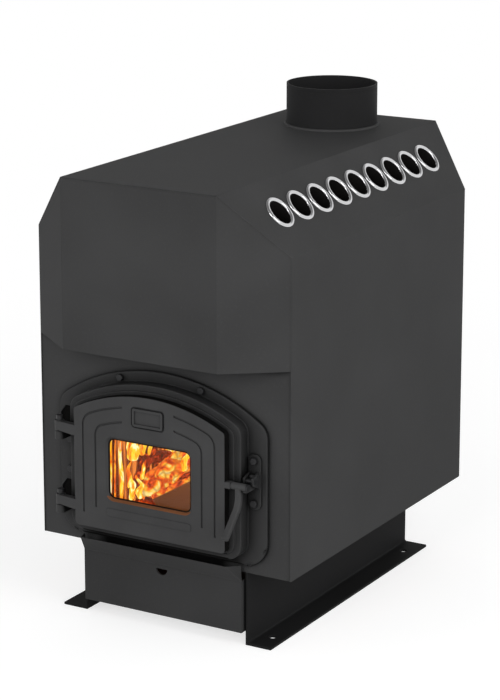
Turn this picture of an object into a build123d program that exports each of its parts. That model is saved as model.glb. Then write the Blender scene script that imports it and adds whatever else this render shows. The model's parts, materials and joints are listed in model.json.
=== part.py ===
from build123d import *

import os
from math import atan2, degrees, hypot, sqrt

# Heating stove, in millimetres.
# The origin is on the floor, at the centre of the four foot holes.
# +Z is up, the door faces -Y, and +X is to the right of someone facing the door.

# Casing
casing_width = 446
casing_depth = 574  # from the front plate's face to the rear plate's face
casing_top_z = 705
shoulder_x = 88  # how far the shoulder comes in from the side
shoulder_z = 95  # how far the shoulder drops from the top
hood_depth = 66.5  # how far each hood stands out from its plate
hood_base_z = 440
sheet = 2

# Base
base_height = 116
base_plate = 4
base_inset = 75  # from the casing's side in to the side plate's outer face
base_depth = 525
foot_width = 40
foot_hole_radius = 5.5
foot_hole_from_front = 41
foot_hole_pitch_y = 438
foot_hole_from_plate = 20
tie_height = 46
bend_radius = 3

# Firebox
heavy_plate = 4  # front, rear and floor plates
firebox_sheet = 3
wall_gap = 58  # between the outer faces of the casing's and the firebox's side
shoulder_gap = 40  # between the outer faces of the two shoulders
crown_gap = 45  # between the tops of the casing and the firebox
smoke_box_depth = 36
smoke_shelf_z = 452

# Convection tubes and their outlets
tube_count = 9
tube_pitch = 60
tube_first = 48.5  # first tube's axis behind the front plate's face
tube_radius = 22
tube_wall = 2
tube_bend_radius = 62
tube_straight = 46  # straight stretch behind each outlet
outlet_down_shoulder = 57.4  # from the top edge to the outlet's centre, along the shoulder
outlet_ring_radius = 26.9
outlet_ring_bore = 20.1
outlet_ring_height = 3.2
outlet_ring_round = 0.45  # share of the ring's width that each rounding takes

# Flue
flue_radius = 75
flue_neck_radius = 74.4  # the lower part of the stub, below the pipe's socket
flue_wall = 3
flue_top_z = 774.3
flue_from_front = 526
flue_gap = 0.3
flue_ring_radius = 78.6
flue_ring_height = 3.5
flue_ring_round = 1.8
flue_socket_gap = 1  # from the ring to where the stub takes the pipe
flue_groove_below_rim = 7
flue_groove_width = 1.6
flue_groove_depth = 0.5

# Smoke baffle
baffle_side_gap = 3.4  # between the baffle's edge and the tubes
baffle_thickness = 4
baffle_z = 540
baffle_from_front = 130
baffle_bar_height = 24
baffle_bar_thickness = 6

# Grate
grate_side_gap = 13.4  # between the grate's edge and the tubes
grate_length = 330
grate_thickness = 8
grate_from_front = 80
grate_seat = 12  # how far the grate overlaps the floor plate all round
grate_slot_width = 9
grate_slot_margin = 3  # from the slot's end to the hole in the floor plate
grate_rib = 16  # between the two rows of slots
grate_slot_pitch = 19
grate_slot_rows = 15

# Door frame
frame_half_width = 185
frame_bottom_z = 130
frame_top_z = 408
frame_arch_radius = 304
frame_plate = 6
frame_top_corner = 28
frame_bottom_corner = 40
collar_half_width = 152
collar_bottom_z = 143
collar_top_z = 392
collar_arch_radius = 290
collar_depth = 27  # from the front plate to the collar's lower step
collar_top_corner = 22
collar_bottom_corner = 24
step_inset = 9
step_height = 4
throat_inset = 34  # from the collar's outer wall to the opening

# Door leaf
leaf_half_width = 134
leaf_bottom_z = 156.5
leaf_top_z = 377.5
leaf_arch_radius = 281
leaf_depth = 12
leaf_web = 6
leaf_rim = 6
leaf_corner = 7
leaf_seat_gap = 0.5
leaf_edge_round = 1.6
rope_channel = 12
rope_rib = 4
rope_rib_height = 4
rope_gap = 0.3
rope_side_gap = 0.3
rope_edge_round = 2
window_half_width = 73.5
window_bottom_z = 208.5
window_top_z = 304
window_corner = 11
window_bevel = 3.5
glass_overlap = 8
glass_thickness = 4
glass_gasket_thickness = 1.5
clip_length = 22
clip_width = 14
clip_thickness = 1.2
clip_bite = 5
clip_screw_from_middle = 3.5
clip_height_from_middle = 32
clip_screw_radius = 2
clip_screw_head_radius = 3.6
clip_screw_head_height = 2
clip_boss_radius = 6

# Relief on the leaf
groove_width = 3
groove_depth = 1.4
groove_insets = (15.5, 38)
groove_corners = (24, 20)
groove_feet = (180, 191)
groove_gap_half_width = 46  # the arch of each groove is broken here, for the plaque
plaque_width = 54
plaque_height = 28
plaque_middle_z = 344.7
plaque_border = 4
plaque_rise = 1.6
plaque_moat = 2.2  # a groove round the plaque
strip_width = 150
strip_height = 12
strip_middle_z = 187
strip_rise = 0.8

# Hinges
hinge_x = -165
hinge_out = 36  # from the front plate to the pin's axis
hinge_top_z = (317.5, 199)  # the top of each knuckle
knuckle_radius = 7.5
knuckle_height = 16
lug_height = 14
lug_gap = 0.5
hinge_pin_radius = 4
hinge_pin_head_radius = 5
hinge_pin_head_height = 7
running_clearance = 0.05
arm_drop = 2  # how far the arm's top edge falls from the knuckle to the leaf
arm_root_height = 17
arm_tip_inset = 1  # how much the arm's end is lower than its knuckle, above and below
arm_thickness = 10
pocket_outer_x = -183  # a shallow pocket in the flange over each knuckle
pocket_rise = 13.5
pocket_corner = (9, 12)
pocket_depth = 4

# Handle
pivot_z = 264.5
pivot_radius = 3
ear_width = 9
ear_half_height = 5.5
hub_gap = 0.4
hub_radius = 5.5
lever_width = 10.5
lever_thickness = 9
lever_drop = 29  # from the pivot down to the lever's bend
lever_bend_radius = 30
lever_tip_reach = 38  # how far the tip stands forward of the pivot
lever_tip_z = 196
lever_round = 3
hook_width = 7
hook_bottom_z = 256
hook_tip_z = 277
hook_finger = 5.7
hook_reach = 25.5
hook_under_pin = 1.2
pivot_head_radius = 5.5
pivot_head_height = 3

# Keeper
keeper_x = 165
keeper_width = 22
keeper_height = 86
keeper_plate = 3
keeper_cheek = 4
keeper_cheek_gap = 10
keeper_cheek_reach = 28
keeper_cheek_bottom_z = 256
keeper_cheek_top_z = 282
keeper_cheek_nose = 2  # material round the pin at the cheek's front edge
keeper_corner = 10
keeper_pin_radius = 3.5
keeper_pin_out = 22.5
keeper_pin_z = 270
keeper_bolt_pitch = 66

# Bolts of the frame
bolt_radius = 3
bolt_head_across_flats = 10
bolt_head_height = 4.5
top_bolt_x = 72
top_bolt_z = 391
left_bolt_x = -164.5
left_bolt_z = (279, 231)

# Ash drawer
drawer_side_gap = 2  # between the drawer's front and the base's side plate
drawer_face_out = 8.2  # from the front plate's face to the drawer's face
drawer_bottom_z = 21
drawer_crease_z = 104
scoop_reach = 28.4
scoop_rise = 30
scoop_cheek_rise = 25
scoop_mitre = 12
drawer_sheet = 2
drawer_return = 14  # how far the face's sides are folded back between the base's side plates
finger_hole_radius = 10
finger_hole_top_z = 97
tube_foot_gap = 2.4  # between the runner and the feet of the tubes
tray_length = 440
tray_bottom_z = 44
tray_gap = 0.3
runner_side_gap = 2
runner_ledge = 10
runner_length = 455
runner_from_front = 8

# Places worked out from the sizes above
front_y = -(foot_hole_from_front + foot_hole_pitch_y / 2)
rear_y = front_y + casing_depth
middle_y = (front_y + rear_y) / 2
casing_half = casing_width / 2
inner_half = casing_half - sheet
firebox_half = casing_half - wall_gap
plate_outer_x = casing_half - base_inset
plate_inner_x = plate_outer_x - base_plate
foot_hole_x = plate_outer_x + foot_hole_from_plate
firebox_top_z = casing_top_z - crown_gap
floor_top_z = base_height + heavy_plate
full_length = casing_depth + 2 * hood_depth
shoulder_slant = hypot(shoulder_x, shoulder_z)
shoulder_normal = Vector(shoulder_z, 0, shoulder_x) / shoulder_slant
shoulder_down = Vector(shoulder_x, 0, -shoulder_z) / shoulder_slant
outlet_x = casing_half - shoulder_x + shoulder_down.X * outlet_down_shoulder
outlet_z = casing_top_z + shoulder_down.Z * outlet_down_shoulder
tube_ys = [front_y + tube_first + n * tube_pitch for n in range(tube_count)]
bend_top_x = outlet_x - shoulder_normal.X * tube_straight
bend_top_z = outlet_z - shoulder_normal.Z * tube_straight
tube_x = bend_top_x - tube_bend_radius * (1 - shoulder_normal.Z)
bend_foot_z = bend_top_z - tube_bend_radius * shoulder_normal.X
flue_y = front_y + flue_from_front
frame_face_y = front_y - frame_plate
collar_face_y = front_y - collar_depth - step_height
leaf_back_y = collar_face_y - leaf_seat_gap
leaf_face_y = leaf_back_y - leaf_depth
leaf_web_y = leaf_face_y + leaf_web
hinge_y = front_y - hinge_out
pivot_y = (leaf_face_y + leaf_back_y) / 2
drawer_face_y = front_y - drawer_face_out
tube_inner_x = tube_x - tube_radius
drawer_half_width = plate_inner_x - drawer_side_gap
runner_x = tube_inner_x - tube_foot_gap - drawer_sheet
tray_half_width = runner_x - runner_side_gap
tray_front_y = drawer_face_y + drawer_sheet
tray_top_z = drawer_crease_z

os.makedirs("parts", exist_ok=True)


def at_y(y):
    """The upright plane across the stove at y: its own axes are X and Z, and it faces the front."""
    return Plane.XZ.offset(-y)


def save(piece, name):
    piece.part.label = name
    export_step(piece.part, f"parts/{name}.step")


def section_points(half_width, top, cut_x, cut_z, bottom):
    """The outline of a box with two cut shoulders, as seen from the front."""
    return [
        (-half_width, bottom),
        (half_width, bottom),
        (half_width, top - cut_z),
        (half_width - cut_x, top),
        (cut_x - half_width, top),
        (-half_width, top - cut_z),
    ]


def arched(y, half_width, bottom, top, radius, top_corner=0, bottom_corner=0):
    """A sketch at y with upright sides under a shallow arch."""
    shoulder = top - radius + sqrt(radius**2 - half_width**2)
    with BuildSketch(at_y(y)) as outline:
        with BuildLine():
            Polyline(
                (half_width, shoulder), (half_width, bottom), (-half_width, bottom), (-half_width, shoulder)
            )
            ThreePointArc((half_width, shoulder), (0, top), (-half_width, shoulder))
        make_face()
        if top_corner > 0:
            fillet(outline.vertices().group_by(Axis.Y)[-1], top_corner)
        if bottom_corner > 0:
            fillet(outline.vertices().group_by(Axis.Y)[0], bottom_corner)
    return outline.sketch


def leaf_outline(y, inset, corner=0):
    """The door leaf's outline at y, drawn in by the inset."""
    return arched(
        y,
        leaf_half_width - inset,
        leaf_bottom_z + inset,
        leaf_top_z - inset,
        leaf_arch_radius - inset,
        corner,
        corner,
    )


def groove_outline(inset, foot, corner):
    """The outline that a groove of the leaf's face follows, open at the foot."""
    return arched(
        leaf_face_y, leaf_half_width - inset, foot, leaf_top_z - inset, leaf_arch_radius - inset, corner
    )


def collar_outline(y, inset):
    """The outline of the frame's collar at y, drawn in by the inset."""
    return arched(
        y,
        collar_half_width - inset,
        collar_bottom_z + inset,
        collar_top_z - inset,
        collar_arch_radius - inset,
        collar_top_corner - inset / 2,
        collar_bottom_corner - inset / 2,
    )


# Casing: two bent side wraps, the top plate between them, and a hood with its soffit at each end
outlet_planes = [
    Plane(origin=(outlet_x, y, outlet_z), x_dir=(0, 1, 0), z_dir=shoulder_normal) for y in tube_ys
]

with BuildSketch(Plane.XY) as casing_plan:
    Polygon(
        (casing_half, front_y),
        (casing_half, rear_y),
        (casing_half - shoulder_x, rear_y + hood_depth),
        (shoulder_x - casing_half, rear_y + hood_depth),
        (-casing_half, rear_y),
        (-casing_half, front_y),
        (shoulder_x - casing_half, front_y - hood_depth),
        (casing_half - shoulder_x, front_y - hood_depth),
        align=None,
    )

with BuildSketch(at_y(middle_y)) as casing_room:
    Polygon(*section_points(casing_half, casing_top_z, shoulder_x, shoulder_z, 0), align=None)
    offset(amount=-sheet, kind=Kind.INTERSECTION)

with BuildPart() as casing_side_right:
    with BuildSketch(at_y(middle_y)):
        Polygon(*section_points(casing_half, casing_top_z, shoulder_x, shoulder_z, 0), align=None)
        offset(amount=-sheet, kind=Kind.INTERSECTION, mode=Mode.SUBTRACT)
        with Locations((casing_half - shoulder_x / 2, (base_height + casing_top_z) / 2)):
            Rectangle(shoulder_x, casing_top_z - base_height, mode=Mode.INTERSECT)
    extrude(amount=full_length / 2, both=True)
    extrude(casing_plan.sketch, amount=casing_top_z, mode=Mode.INTERSECT)
    with BuildSketch(*outlet_planes):
        Circle(tube_radius)
    extrude(amount=-2 * sheet, mode=Mode.SUBTRACT)
save(casing_side_right, "casing_side_right")

with BuildPart() as casing_side_left:
    mirror(casing_side_right.part, about=Plane.YZ)
save(casing_side_left, "casing_side_left")

with BuildPart() as casing_top:
    with BuildSketch(Plane.XY.offset(casing_top_z - sheet)):
        with Locations((0, middle_y)):
            Rectangle(2 * (casing_half - shoulder_x), full_length)
        with Locations((0, flue_y)):
            Circle(flue_neck_radius + flue_gap, mode=Mode.SUBTRACT)
    extrude(amount=sheet)
save(casing_top, "casing_top")

with BuildPart() as front_hood:
    extrude(casing_plan.sketch, amount=casing_top_z)
    with BuildSketch(Plane.XY):
        add(casing_plan.sketch)
        offset(amount=-sheet, kind=Kind.INTERSECTION)
    extrude(amount=casing_top_z, mode=Mode.SUBTRACT)
    extrude(casing_room.sketch, amount=full_length / 2, both=True, mode=Mode.INTERSECT)
    with BuildSketch(at_y(front_y)):
        with Locations((0, (hood_base_z + casing_top_z) / 2)):
            Rectangle(casing_width, casing_top_z - hood_base_z)
    extrude(amount=hood_depth, mode=Mode.INTERSECT)
save(front_hood, "front_hood")

with BuildPart() as hood_soffit:
    with BuildSketch(Plane.XY.offset(hood_base_z)):
        add(casing_plan.sketch)
        offset(amount=-sheet, kind=Kind.INTERSECTION)
        with Locations((0, front_y - hood_depth / 2)):
            Rectangle(2 * inner_half, hood_depth, mode=Mode.INTERSECT)
    extrude(amount=sheet)
save(hood_soffit, "hood_soffit")

with BuildPart() as rear_hood:
    mirror(front_hood.part, about=at_y(middle_y))
save(rear_hood, "rear_hood")

with BuildPart() as rear_soffit:
    mirror(hood_soffit.part, about=at_y(middle_y))
save(rear_soffit, "rear_soffit")

# Firebox: its shoulders run parallel to the casing's, so each tube passes both squarely
crossing_x = outlet_x - shoulder_normal.X * shoulder_gap
crossing_z = outlet_z - shoulder_normal.Z * shoulder_gap
crown_half = crossing_x - (firebox_top_z - crossing_z) * shoulder_x / shoulder_z
firebox_cut_x = firebox_half - crown_half
firebox_cut_z = firebox_cut_x * shoulder_z / shoulder_x
firebox_room_half = firebox_half - firebox_sheet
smoke_back_y = rear_y + smoke_box_depth
wall_front_y = front_y + heavy_plate
wall_rear_y = rear_y - heavy_plate
grate_y = front_y + grate_from_front + grate_length / 2
grate_width = 2 * (tube_inner_x - grate_side_gap)
grate_hole_width = grate_width - 2 * grate_seat
bolt_spots = [
    (-top_bolt_x, top_bolt_z),
    (top_bolt_x, top_bolt_z),
    (left_bolt_x, left_bolt_z[0]),
    (left_bolt_x, left_bolt_z[1]),
]
keeper_bolt_spots = [(keeper_x, pivot_z + side * keeper_bolt_pitch / 2) for side in (-1, 1)]


def firebox_points(bottom):
    return section_points(firebox_half, firebox_top_z, firebox_cut_x, firebox_cut_z, bottom)


with BuildPart() as firebox_wall_right:
    with BuildSketch(at_y(middle_y)):
        Polygon(*firebox_points(0), align=None)
        offset(amount=-firebox_sheet, kind=Kind.INTERSECTION, mode=Mode.SUBTRACT)
        with Locations((crown_half + firebox_cut_x / 2, (floor_top_z + firebox_top_z) / 2)):
            Rectangle(firebox_cut_x, firebox_top_z - floor_top_z, mode=Mode.INTERSECT)
    extrude(amount=full_length / 2, both=True)
    with BuildSketch(Plane.YZ):
        Polygon(
            (wall_front_y, floor_top_z),
            (wall_rear_y, floor_top_z),
            (wall_rear_y, smoke_shelf_z),
            (smoke_back_y, smoke_shelf_z),
            (smoke_back_y, firebox_top_z),
            (wall_front_y, firebox_top_z),
            align=None,
        )
    extrude(amount=firebox_half, both=True, mode=Mode.INTERSECT)
    with BuildSketch(*outlet_planes):
        Circle(tube_radius)
    extrude(amount=-(shoulder_gap + 2 * firebox_sheet), mode=Mode.SUBTRACT)
save(firebox_wall_right, "firebox_wall_right")

with BuildPart() as firebox_wall_left:
    mirror(firebox_wall_right.part, about=Plane.YZ)
save(firebox_wall_left, "firebox_wall_left")

with BuildPart() as firebox_crown:
    with BuildSketch(Plane.XY.offset(firebox_top_z - firebox_sheet)):
        with Locations((0, (wall_front_y + smoke_back_y) / 2)):
            Rectangle(2 * crown_half, smoke_back_y - wall_front_y)
        with Locations((0, flue_y)):
            Circle(flue_neck_radius, mode=Mode.SUBTRACT)
    extrude(amount=firebox_sheet)
save(firebox_crown, "firebox_crown")

with BuildPart() as firebox_floor:
    with BuildSketch(Plane.XY.offset(base_height)):
        with Locations((0, middle_y)):
            Rectangle(2 * firebox_half, wall_rear_y - wall_front_y)
        with Locations((0, grate_y)):
            Rectangle(grate_hole_width, grate_length - 2 * grate_seat, mode=Mode.SUBTRACT)
        with Locations([(side * tube_x, y) for side in (-1, 1) for y in tube_ys]):
            Circle(tube_radius, mode=Mode.SUBTRACT)
    extrude(amount=heavy_plate)
save(firebox_floor, "firebox_floor")

with BuildPart() as front_plate:
    with BuildSketch(at_y(front_y)):
        with Locations((0, (base_height + hood_base_z + sheet) / 2)):
            Rectangle(2 * inner_half, hood_base_z + sheet - base_height)
        Polygon(*firebox_points(hood_base_z), align=None)
        with Locations(*bolt_spots, *keeper_bolt_spots):
            Circle(bolt_radius, mode=Mode.SUBTRACT)
    extrude(amount=-heavy_plate)
    extrude(collar_outline(front_y, throat_inset), amount=-heavy_plate, mode=Mode.SUBTRACT)
save(front_plate, "front_plate")

with BuildPart() as rear_plate:
    rear_plate_top = smoke_shelf_z + firebox_sheet
    with BuildSketch(at_y(rear_y)):
        with Locations((0, (base_height + hood_base_z + sheet) / 2)):
            Rectangle(2 * inner_half, hood_base_z + sheet - base_height)
        with Locations((0, (hood_base_z + rear_plate_top) / 2)):
            Rectangle(2 * firebox_room_half, rear_plate_top - hood_base_z)
    extrude(amount=heavy_plate)
save(rear_plate, "rear_plate")

with BuildPart() as smoke_box_shelf:
    with BuildSketch(Plane.XY.offset(smoke_shelf_z)):
        with Locations((0, rear_y + smoke_box_depth / 2)):
            Rectangle(2 * firebox_room_half, smoke_box_depth)
    extrude(amount=firebox_sheet)
save(smoke_box_shelf, "smoke_box_shelf")

with BuildPart() as smoke_box_back:
    with BuildSketch(at_y(smoke_back_y)):
        Polygon(*firebox_points(smoke_shelf_z), align=None)
        offset(amount=-firebox_sheet, kind=Kind.INTERSECTION)
    extrude(amount=firebox_sheet)
save(smoke_box_back, "smoke_box_back")

# Smoke baffle, lying on two bars that pass between the tubes
with BuildPart() as baffle_bars:
    for tube_y in (tube_ys[tube_count // 3], tube_ys[-1]):
        with BuildSketch(at_y(tube_y - tube_pitch / 2)):
            with Locations((0, baffle_z - baffle_bar_height / 2)):
                Rectangle(2 * firebox_room_half, baffle_bar_height)
        extrude(amount=baffle_bar_thickness / 2, both=True)
save(baffle_bars, "baffle_bars")

with BuildPart() as smoke_baffle:
    baffle_front_y = front_y + baffle_from_front
    with BuildSketch(Plane.XY.offset(baffle_z)):
        with Locations((0, (baffle_front_y + wall_rear_y) / 2)):
            Rectangle(2 * (tube_inner_x - baffle_side_gap), wall_rear_y - baffle_front_y)
    extrude(amount=baffle_thickness)
save(smoke_baffle, "smoke_baffle")

# Cast grate, laid over the hole in the floor plate
with BuildPart() as grate:
    slot_length = (grate_hole_width - grate_rib) / 2 - grate_slot_margin
    with BuildSketch(Plane.XY.offset(floor_top_z)):
        with Locations((0, grate_y)):
            RectangleRounded(grate_width, grate_length, grate_seat)
            with GridLocations(slot_length + grate_rib, grate_slot_pitch, 2, grate_slot_rows):
                SlotOverall(slot_length, grate_slot_width, mode=Mode.SUBTRACT)
    extrude(amount=grate_thickness)
save(grate, "grate")

# Convection tubes: up from the floor plate, then out squarely through both shoulders
tube_foot = Plane(origin=(tube_x, tube_ys[0], base_height))
bend_foot = Plane(origin=(tube_x, tube_ys[0], bend_foot_z))
bend_top = Plane(origin=(bend_top_x, tube_ys[0], bend_top_z), x_dir=(0, 1, 0), z_dir=shoulder_normal)
bend_axis = Axis((tube_x + tube_bend_radius, tube_ys[0], bend_foot_z), (0, 1, 0))


def tube_section(plane):
    with BuildSketch(plane) as section:
        Circle(tube_radius)
        Circle(tube_radius - tube_wall, mode=Mode.SUBTRACT)
    return section.sketch


with BuildPart() as one_tube:
    extrude(tube_section(tube_foot), amount=bend_foot_z - base_height)
    revolve(
        tube_section(bend_foot), axis=bend_axis, revolution_arc=degrees(atan2(shoulder_z, shoulder_x))
    )
    extrude(tube_section(bend_top), amount=tube_straight)

with BuildPart() as convection_tubes_right:
    with Locations([(0, n * tube_pitch, 0) for n in range(tube_count)]):
        add(one_tube.part)
save(convection_tubes_right, "convection_tubes_right")

with BuildPart() as convection_tubes_left:
    mirror(convection_tubes_right.part, about=Plane.YZ)
save(convection_tubes_left, "convection_tubes_left")

# Bright rings round the outlets
with BuildPart() as outlet_rings_right:
    with BuildSketch(*outlet_planes):
        Circle(outlet_ring_radius)
        Circle(outlet_ring_bore, mode=Mode.SUBTRACT)
    extrude(amount=outlet_ring_height)
    ring_width = outlet_ring_radius - outlet_ring_bore
    outer_level = shoulder_normal.dot(Vector(outlet_x, 0, outlet_z)) + outlet_ring_height
    outer_edges = (
        outlet_rings_right.edges()
        .filter_by(GeomType.CIRCLE)
        .filter_by(lambda edge: abs(shoulder_normal.dot(edge.arc_center) - outer_level) < sheet)
    )
    fillet(outer_edges, ring_width * outlet_ring_round)
save(outlet_rings_right, "outlet_rings_right")

with BuildPart() as outlet_rings_left:
    mirror(outlet_rings_right.part, about=Plane.YZ)
save(outlet_rings_left, "outlet_rings_left")

# Flue stub, welded into the crown, and the thin ring where it leaves the casing
with BuildPart() as flue_stub:
    neck_top_z = casing_top_z + flue_ring_height + flue_socket_gap
    with BuildSketch(Plane.XY.offset(firebox_top_z - firebox_sheet)):
        with Locations((0, flue_y)):
            Circle(flue_neck_radius)
    extrude(amount=neck_top_z - firebox_top_z + firebox_sheet)
    with BuildSketch(Plane.XY.offset(neck_top_z)):
        with Locations((0, flue_y)):
            Circle(flue_radius)
    extrude(amount=flue_top_z - neck_top_z)
    with BuildSketch(Plane.XY):
        with Locations((0, flue_y)):
            Circle(flue_radius - flue_wall)
    extrude(amount=flue_top_z, mode=Mode.SUBTRACT)
    with BuildSketch(Plane.XY.offset(flue_top_z - flue_groove_below_rim)):
        with Locations((0, flue_y)):
            Circle(flue_radius)
            Circle(flue_radius - flue_groove_depth, mode=Mode.SUBTRACT)
    extrude(amount=flue_groove_width, mode=Mode.SUBTRACT)
save(flue_stub, "flue_stub")

with BuildPart() as flue_ring:
    with BuildSketch(Plane.XY.offset(casing_top_z)):
        with Locations((0, flue_y)):
            Circle(flue_ring_radius)
            Circle(flue_neck_radius, mode=Mode.SUBTRACT)
    extrude(amount=flue_ring_height)
    top_edges = flue_ring.edges().group_by(Axis.Z)[-1]
    fillet(top_edges.sort_by(SortBy.LENGTH)[-1], flue_ring_round)
save(flue_ring, "flue_ring")

# Base: two folded side plates and a tie between them at the rear
with BuildPart() as base_plate_right:
    with BuildSketch(at_y(front_y)) as fold:
        with Locations((plate_inner_x + base_plate / 2, base_height / 2)):
            Rectangle(base_plate, base_height)
        with Locations((plate_outer_x + foot_width / 2, base_plate / 2)):
            Rectangle(foot_width, base_plate)
        fillet(fold.vertices().sort_by_distance((plate_outer_x, base_plate, 0))[0], bend_radius)
    extrude(amount=-base_depth)
    with BuildSketch(Plane.XY):
        with Locations((foot_hole_x, -foot_hole_pitch_y / 2), (foot_hole_x, foot_hole_pitch_y / 2)):
            Circle(foot_hole_radius)
    extrude(amount=base_plate, mode=Mode.SUBTRACT)
save(base_plate_right, "base_plate_right")

with BuildPart() as base_plate_left:
    mirror(base_plate_right.part, about=Plane.YZ)
save(base_plate_left, "base_plate_left")

with BuildPart() as base_tie:
    with BuildSketch(at_y(front_y + base_depth)):
        with Locations((0, base_height - tie_height / 2)):
            Rectangle(2 * plate_inner_x, tie_height)
    extrude(amount=base_plate)
save(base_tie, "base_tie")

# Door frame: flange, stepped collar, and the lugs that hold the hinge pins
lug_feet = [top - knuckle_height - lug_gap - lug_height for top in hinge_top_z]

with BuildPart() as door_frame:
    extrude(
        arched(
            front_y,
            frame_half_width,
            frame_bottom_z,
            frame_top_z,
            frame_arch_radius,
            frame_top_corner,
            frame_bottom_corner,
        ),
        amount=frame_plate,
    )
    fillet(door_frame.faces().sort_by(Axis.Y)[0].outer_wire().edges(), frame_plate / 3)
    extrude(collar_outline(frame_face_y, 0), amount=collar_depth - frame_plate)
    fillet(door_frame.faces().sort_by(Axis.Y)[0].outer_wire().edges(), step_height / 2)
    extrude(collar_outline(front_y - collar_depth, step_inset), amount=step_height)
    extrude(
        collar_outline(front_y, throat_inset), amount=collar_depth + step_height, mode=Mode.SUBTRACT
    )
    for top in hinge_top_z:
        with BuildSketch(at_y(frame_face_y)):
            Polygon(
                (pocket_outer_x, top - knuckle_height),
                (-collar_half_width, top - knuckle_height),
                (-collar_half_width, top + pocket_rise),
                (pocket_outer_x + pocket_corner[0], top + pocket_rise),
                (pocket_outer_x, top + pocket_rise - pocket_corner[1]),
                align=None,
            )
        extrude(amount=-pocket_depth, mode=Mode.SUBTRACT)
    for foot in lug_feet:
        with BuildSketch(Plane.XY.offset(foot)):
            with Locations((hinge_x, hinge_y)):
                Circle(knuckle_radius)
            with Locations((hinge_x, (hinge_y + frame_face_y) / 2)):
                Rectangle(2 * knuckle_radius, frame_face_y - hinge_y)
            with Locations((hinge_x, hinge_y)):
                Circle(hinge_pin_radius, mode=Mode.SUBTRACT)
        extrude(amount=lug_height)
    with BuildSketch(at_y(front_y)):
        with Locations(*bolt_spots, *keeper_bolt_spots):
            Circle(bolt_radius)
    extrude(amount=frame_plate, mode=Mode.SUBTRACT)
save(door_frame, "door_frame")

with BuildPart() as frame_bolts:
    with BuildSketch(at_y(frame_face_y)):
        with Locations(*bolt_spots):
            RegularPolygon(bolt_head_across_flats / 2, 6, major_radius=False)
    extrude(amount=bolt_head_height)
    with BuildSketch(at_y(frame_face_y)):
        with Locations(*bolt_spots):
            Circle(bolt_radius)
    extrude(amount=-(frame_plate + heavy_plate))
save(frame_bolts, "frame_bolts")

with BuildPart() as hinge_pins:
    for foot, top in zip(lug_feet, hinge_top_z):
        with BuildSketch(Plane.XY.offset(foot)):
            with Locations((hinge_x, hinge_y)):
                Circle(hinge_pin_radius)
        extrude(amount=top + lug_gap - foot)
        with BuildSketch(Plane.XY.offset(top + lug_gap)):
            with Locations((hinge_x, hinge_y)):
                Circle(hinge_pin_head_radius)
        extrude(amount=hinge_pin_head_height)
save(hinge_pins, "hinge_pins")

# Keeper: a plate with two cheeks that hold a cross pin
keeper_face_y = frame_face_y - keeper_plate
keeper_pin_y = front_y - keeper_pin_out
cheek_front_y = front_y - keeper_cheek_reach
cheek_starts = (keeper_x - keeper_cheek_gap / 2 - keeper_cheek, keeper_x + keeper_cheek_gap / 2)
cheek_nose = keeper_pin_radius + keeper_cheek_nose

with BuildPart() as latch_keeper:
    with BuildSketch(at_y(frame_face_y)):
        with Locations((keeper_x, pivot_z)):
            RectangleRounded(keeper_width, keeper_height, keeper_corner)
        with Locations(*keeper_bolt_spots):
            Circle(bolt_radius, mode=Mode.SUBTRACT)
    extrude(amount=keeper_plate)
    for start in cheek_starts:
        with BuildSketch(Plane.YZ.offset(start)):
            Polygon(
                (keeper_face_y, keeper_cheek_bottom_z),
                (cheek_front_y, keeper_pin_z - cheek_nose),
                (cheek_front_y, keeper_pin_z + cheek_nose),
                (keeper_face_y, keeper_cheek_top_z),
                align=None,
            )
            with Locations((keeper_pin_y, keeper_pin_z)):
                Circle(keeper_pin_radius, mode=Mode.SUBTRACT)
        extrude(amount=keeper_cheek)
save(latch_keeper, "latch_keeper")

with BuildPart() as keeper_pin:
    with BuildSketch(Plane.YZ.offset(cheek_starts[0])):
        with Locations((keeper_pin_y, keeper_pin_z)):
            Circle(keeper_pin_radius)
    extrude(amount=keeper_cheek_gap + 2 * keeper_cheek)
save(keeper_pin, "keeper_pin")

with BuildPart() as keeper_bolts:
    with BuildSketch(at_y(keeper_face_y)):
        with Locations(*keeper_bolt_spots):
            RegularPolygon(bolt_head_across_flats / 2, 6, major_radius=False)
    extrude(amount=bolt_head_height)
    with BuildSketch(at_y(keeper_face_y)):
        with Locations(*keeper_bolt_spots):
            Circle(bolt_radius)
    extrude(amount=-(keeper_plate + frame_plate + heavy_plate))
save(keeper_bolts, "keeper_bolts")

# Door leaf: a casting, hollow at the back, with a rope channel round its rim
window_width = 2 * window_half_width
window_height = window_top_z - window_bottom_z
window_z = (window_top_z + window_bottom_z) / 2
glass_width = window_width + 2 * glass_overlap
glass_height = window_height + 2 * glass_overlap
glass_y = leaf_web_y + glass_gasket_thickness
clip_y = glass_y + glass_thickness
clip_x = glass_width / 2 - clip_bite + clip_length / 2
screw_x = clip_x + clip_screw_from_middle
quarters = [(side, level) for side in (-1, 1) for level in (-1, 1)]
clip_spots = [(side * clip_x, window_z + level * clip_height_from_middle) for side, level in quarters]
screw_spots = [(side * screw_x, window_z + level * clip_height_from_middle) for side, level in quarters]
rib_inset = leaf_rim + rope_channel
ear_end_x = leaf_half_width + ear_width
arm_front_y = hinge_y - knuckle_radius

with BuildPart() as leaf_grooves:
    for inset, corner, foot in zip(groove_insets, groove_corners, groove_feet):
        inner_inset = inset + groove_width
        extrude(groove_outline(inset, foot, corner), amount=-groove_depth)
        extrude(
            groove_outline(inner_inset, foot, corner - groove_width), amount=-groove_depth, mode=Mode.SUBTRACT
        )
    with BuildSketch(at_y(leaf_face_y)):
        with Locations((0, leaf_top_z)):
            Rectangle(2 * groove_gap_half_width, 2 * (leaf_top_z - window_top_z))
    extrude(amount=-groove_depth, mode=Mode.SUBTRACT)

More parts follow.
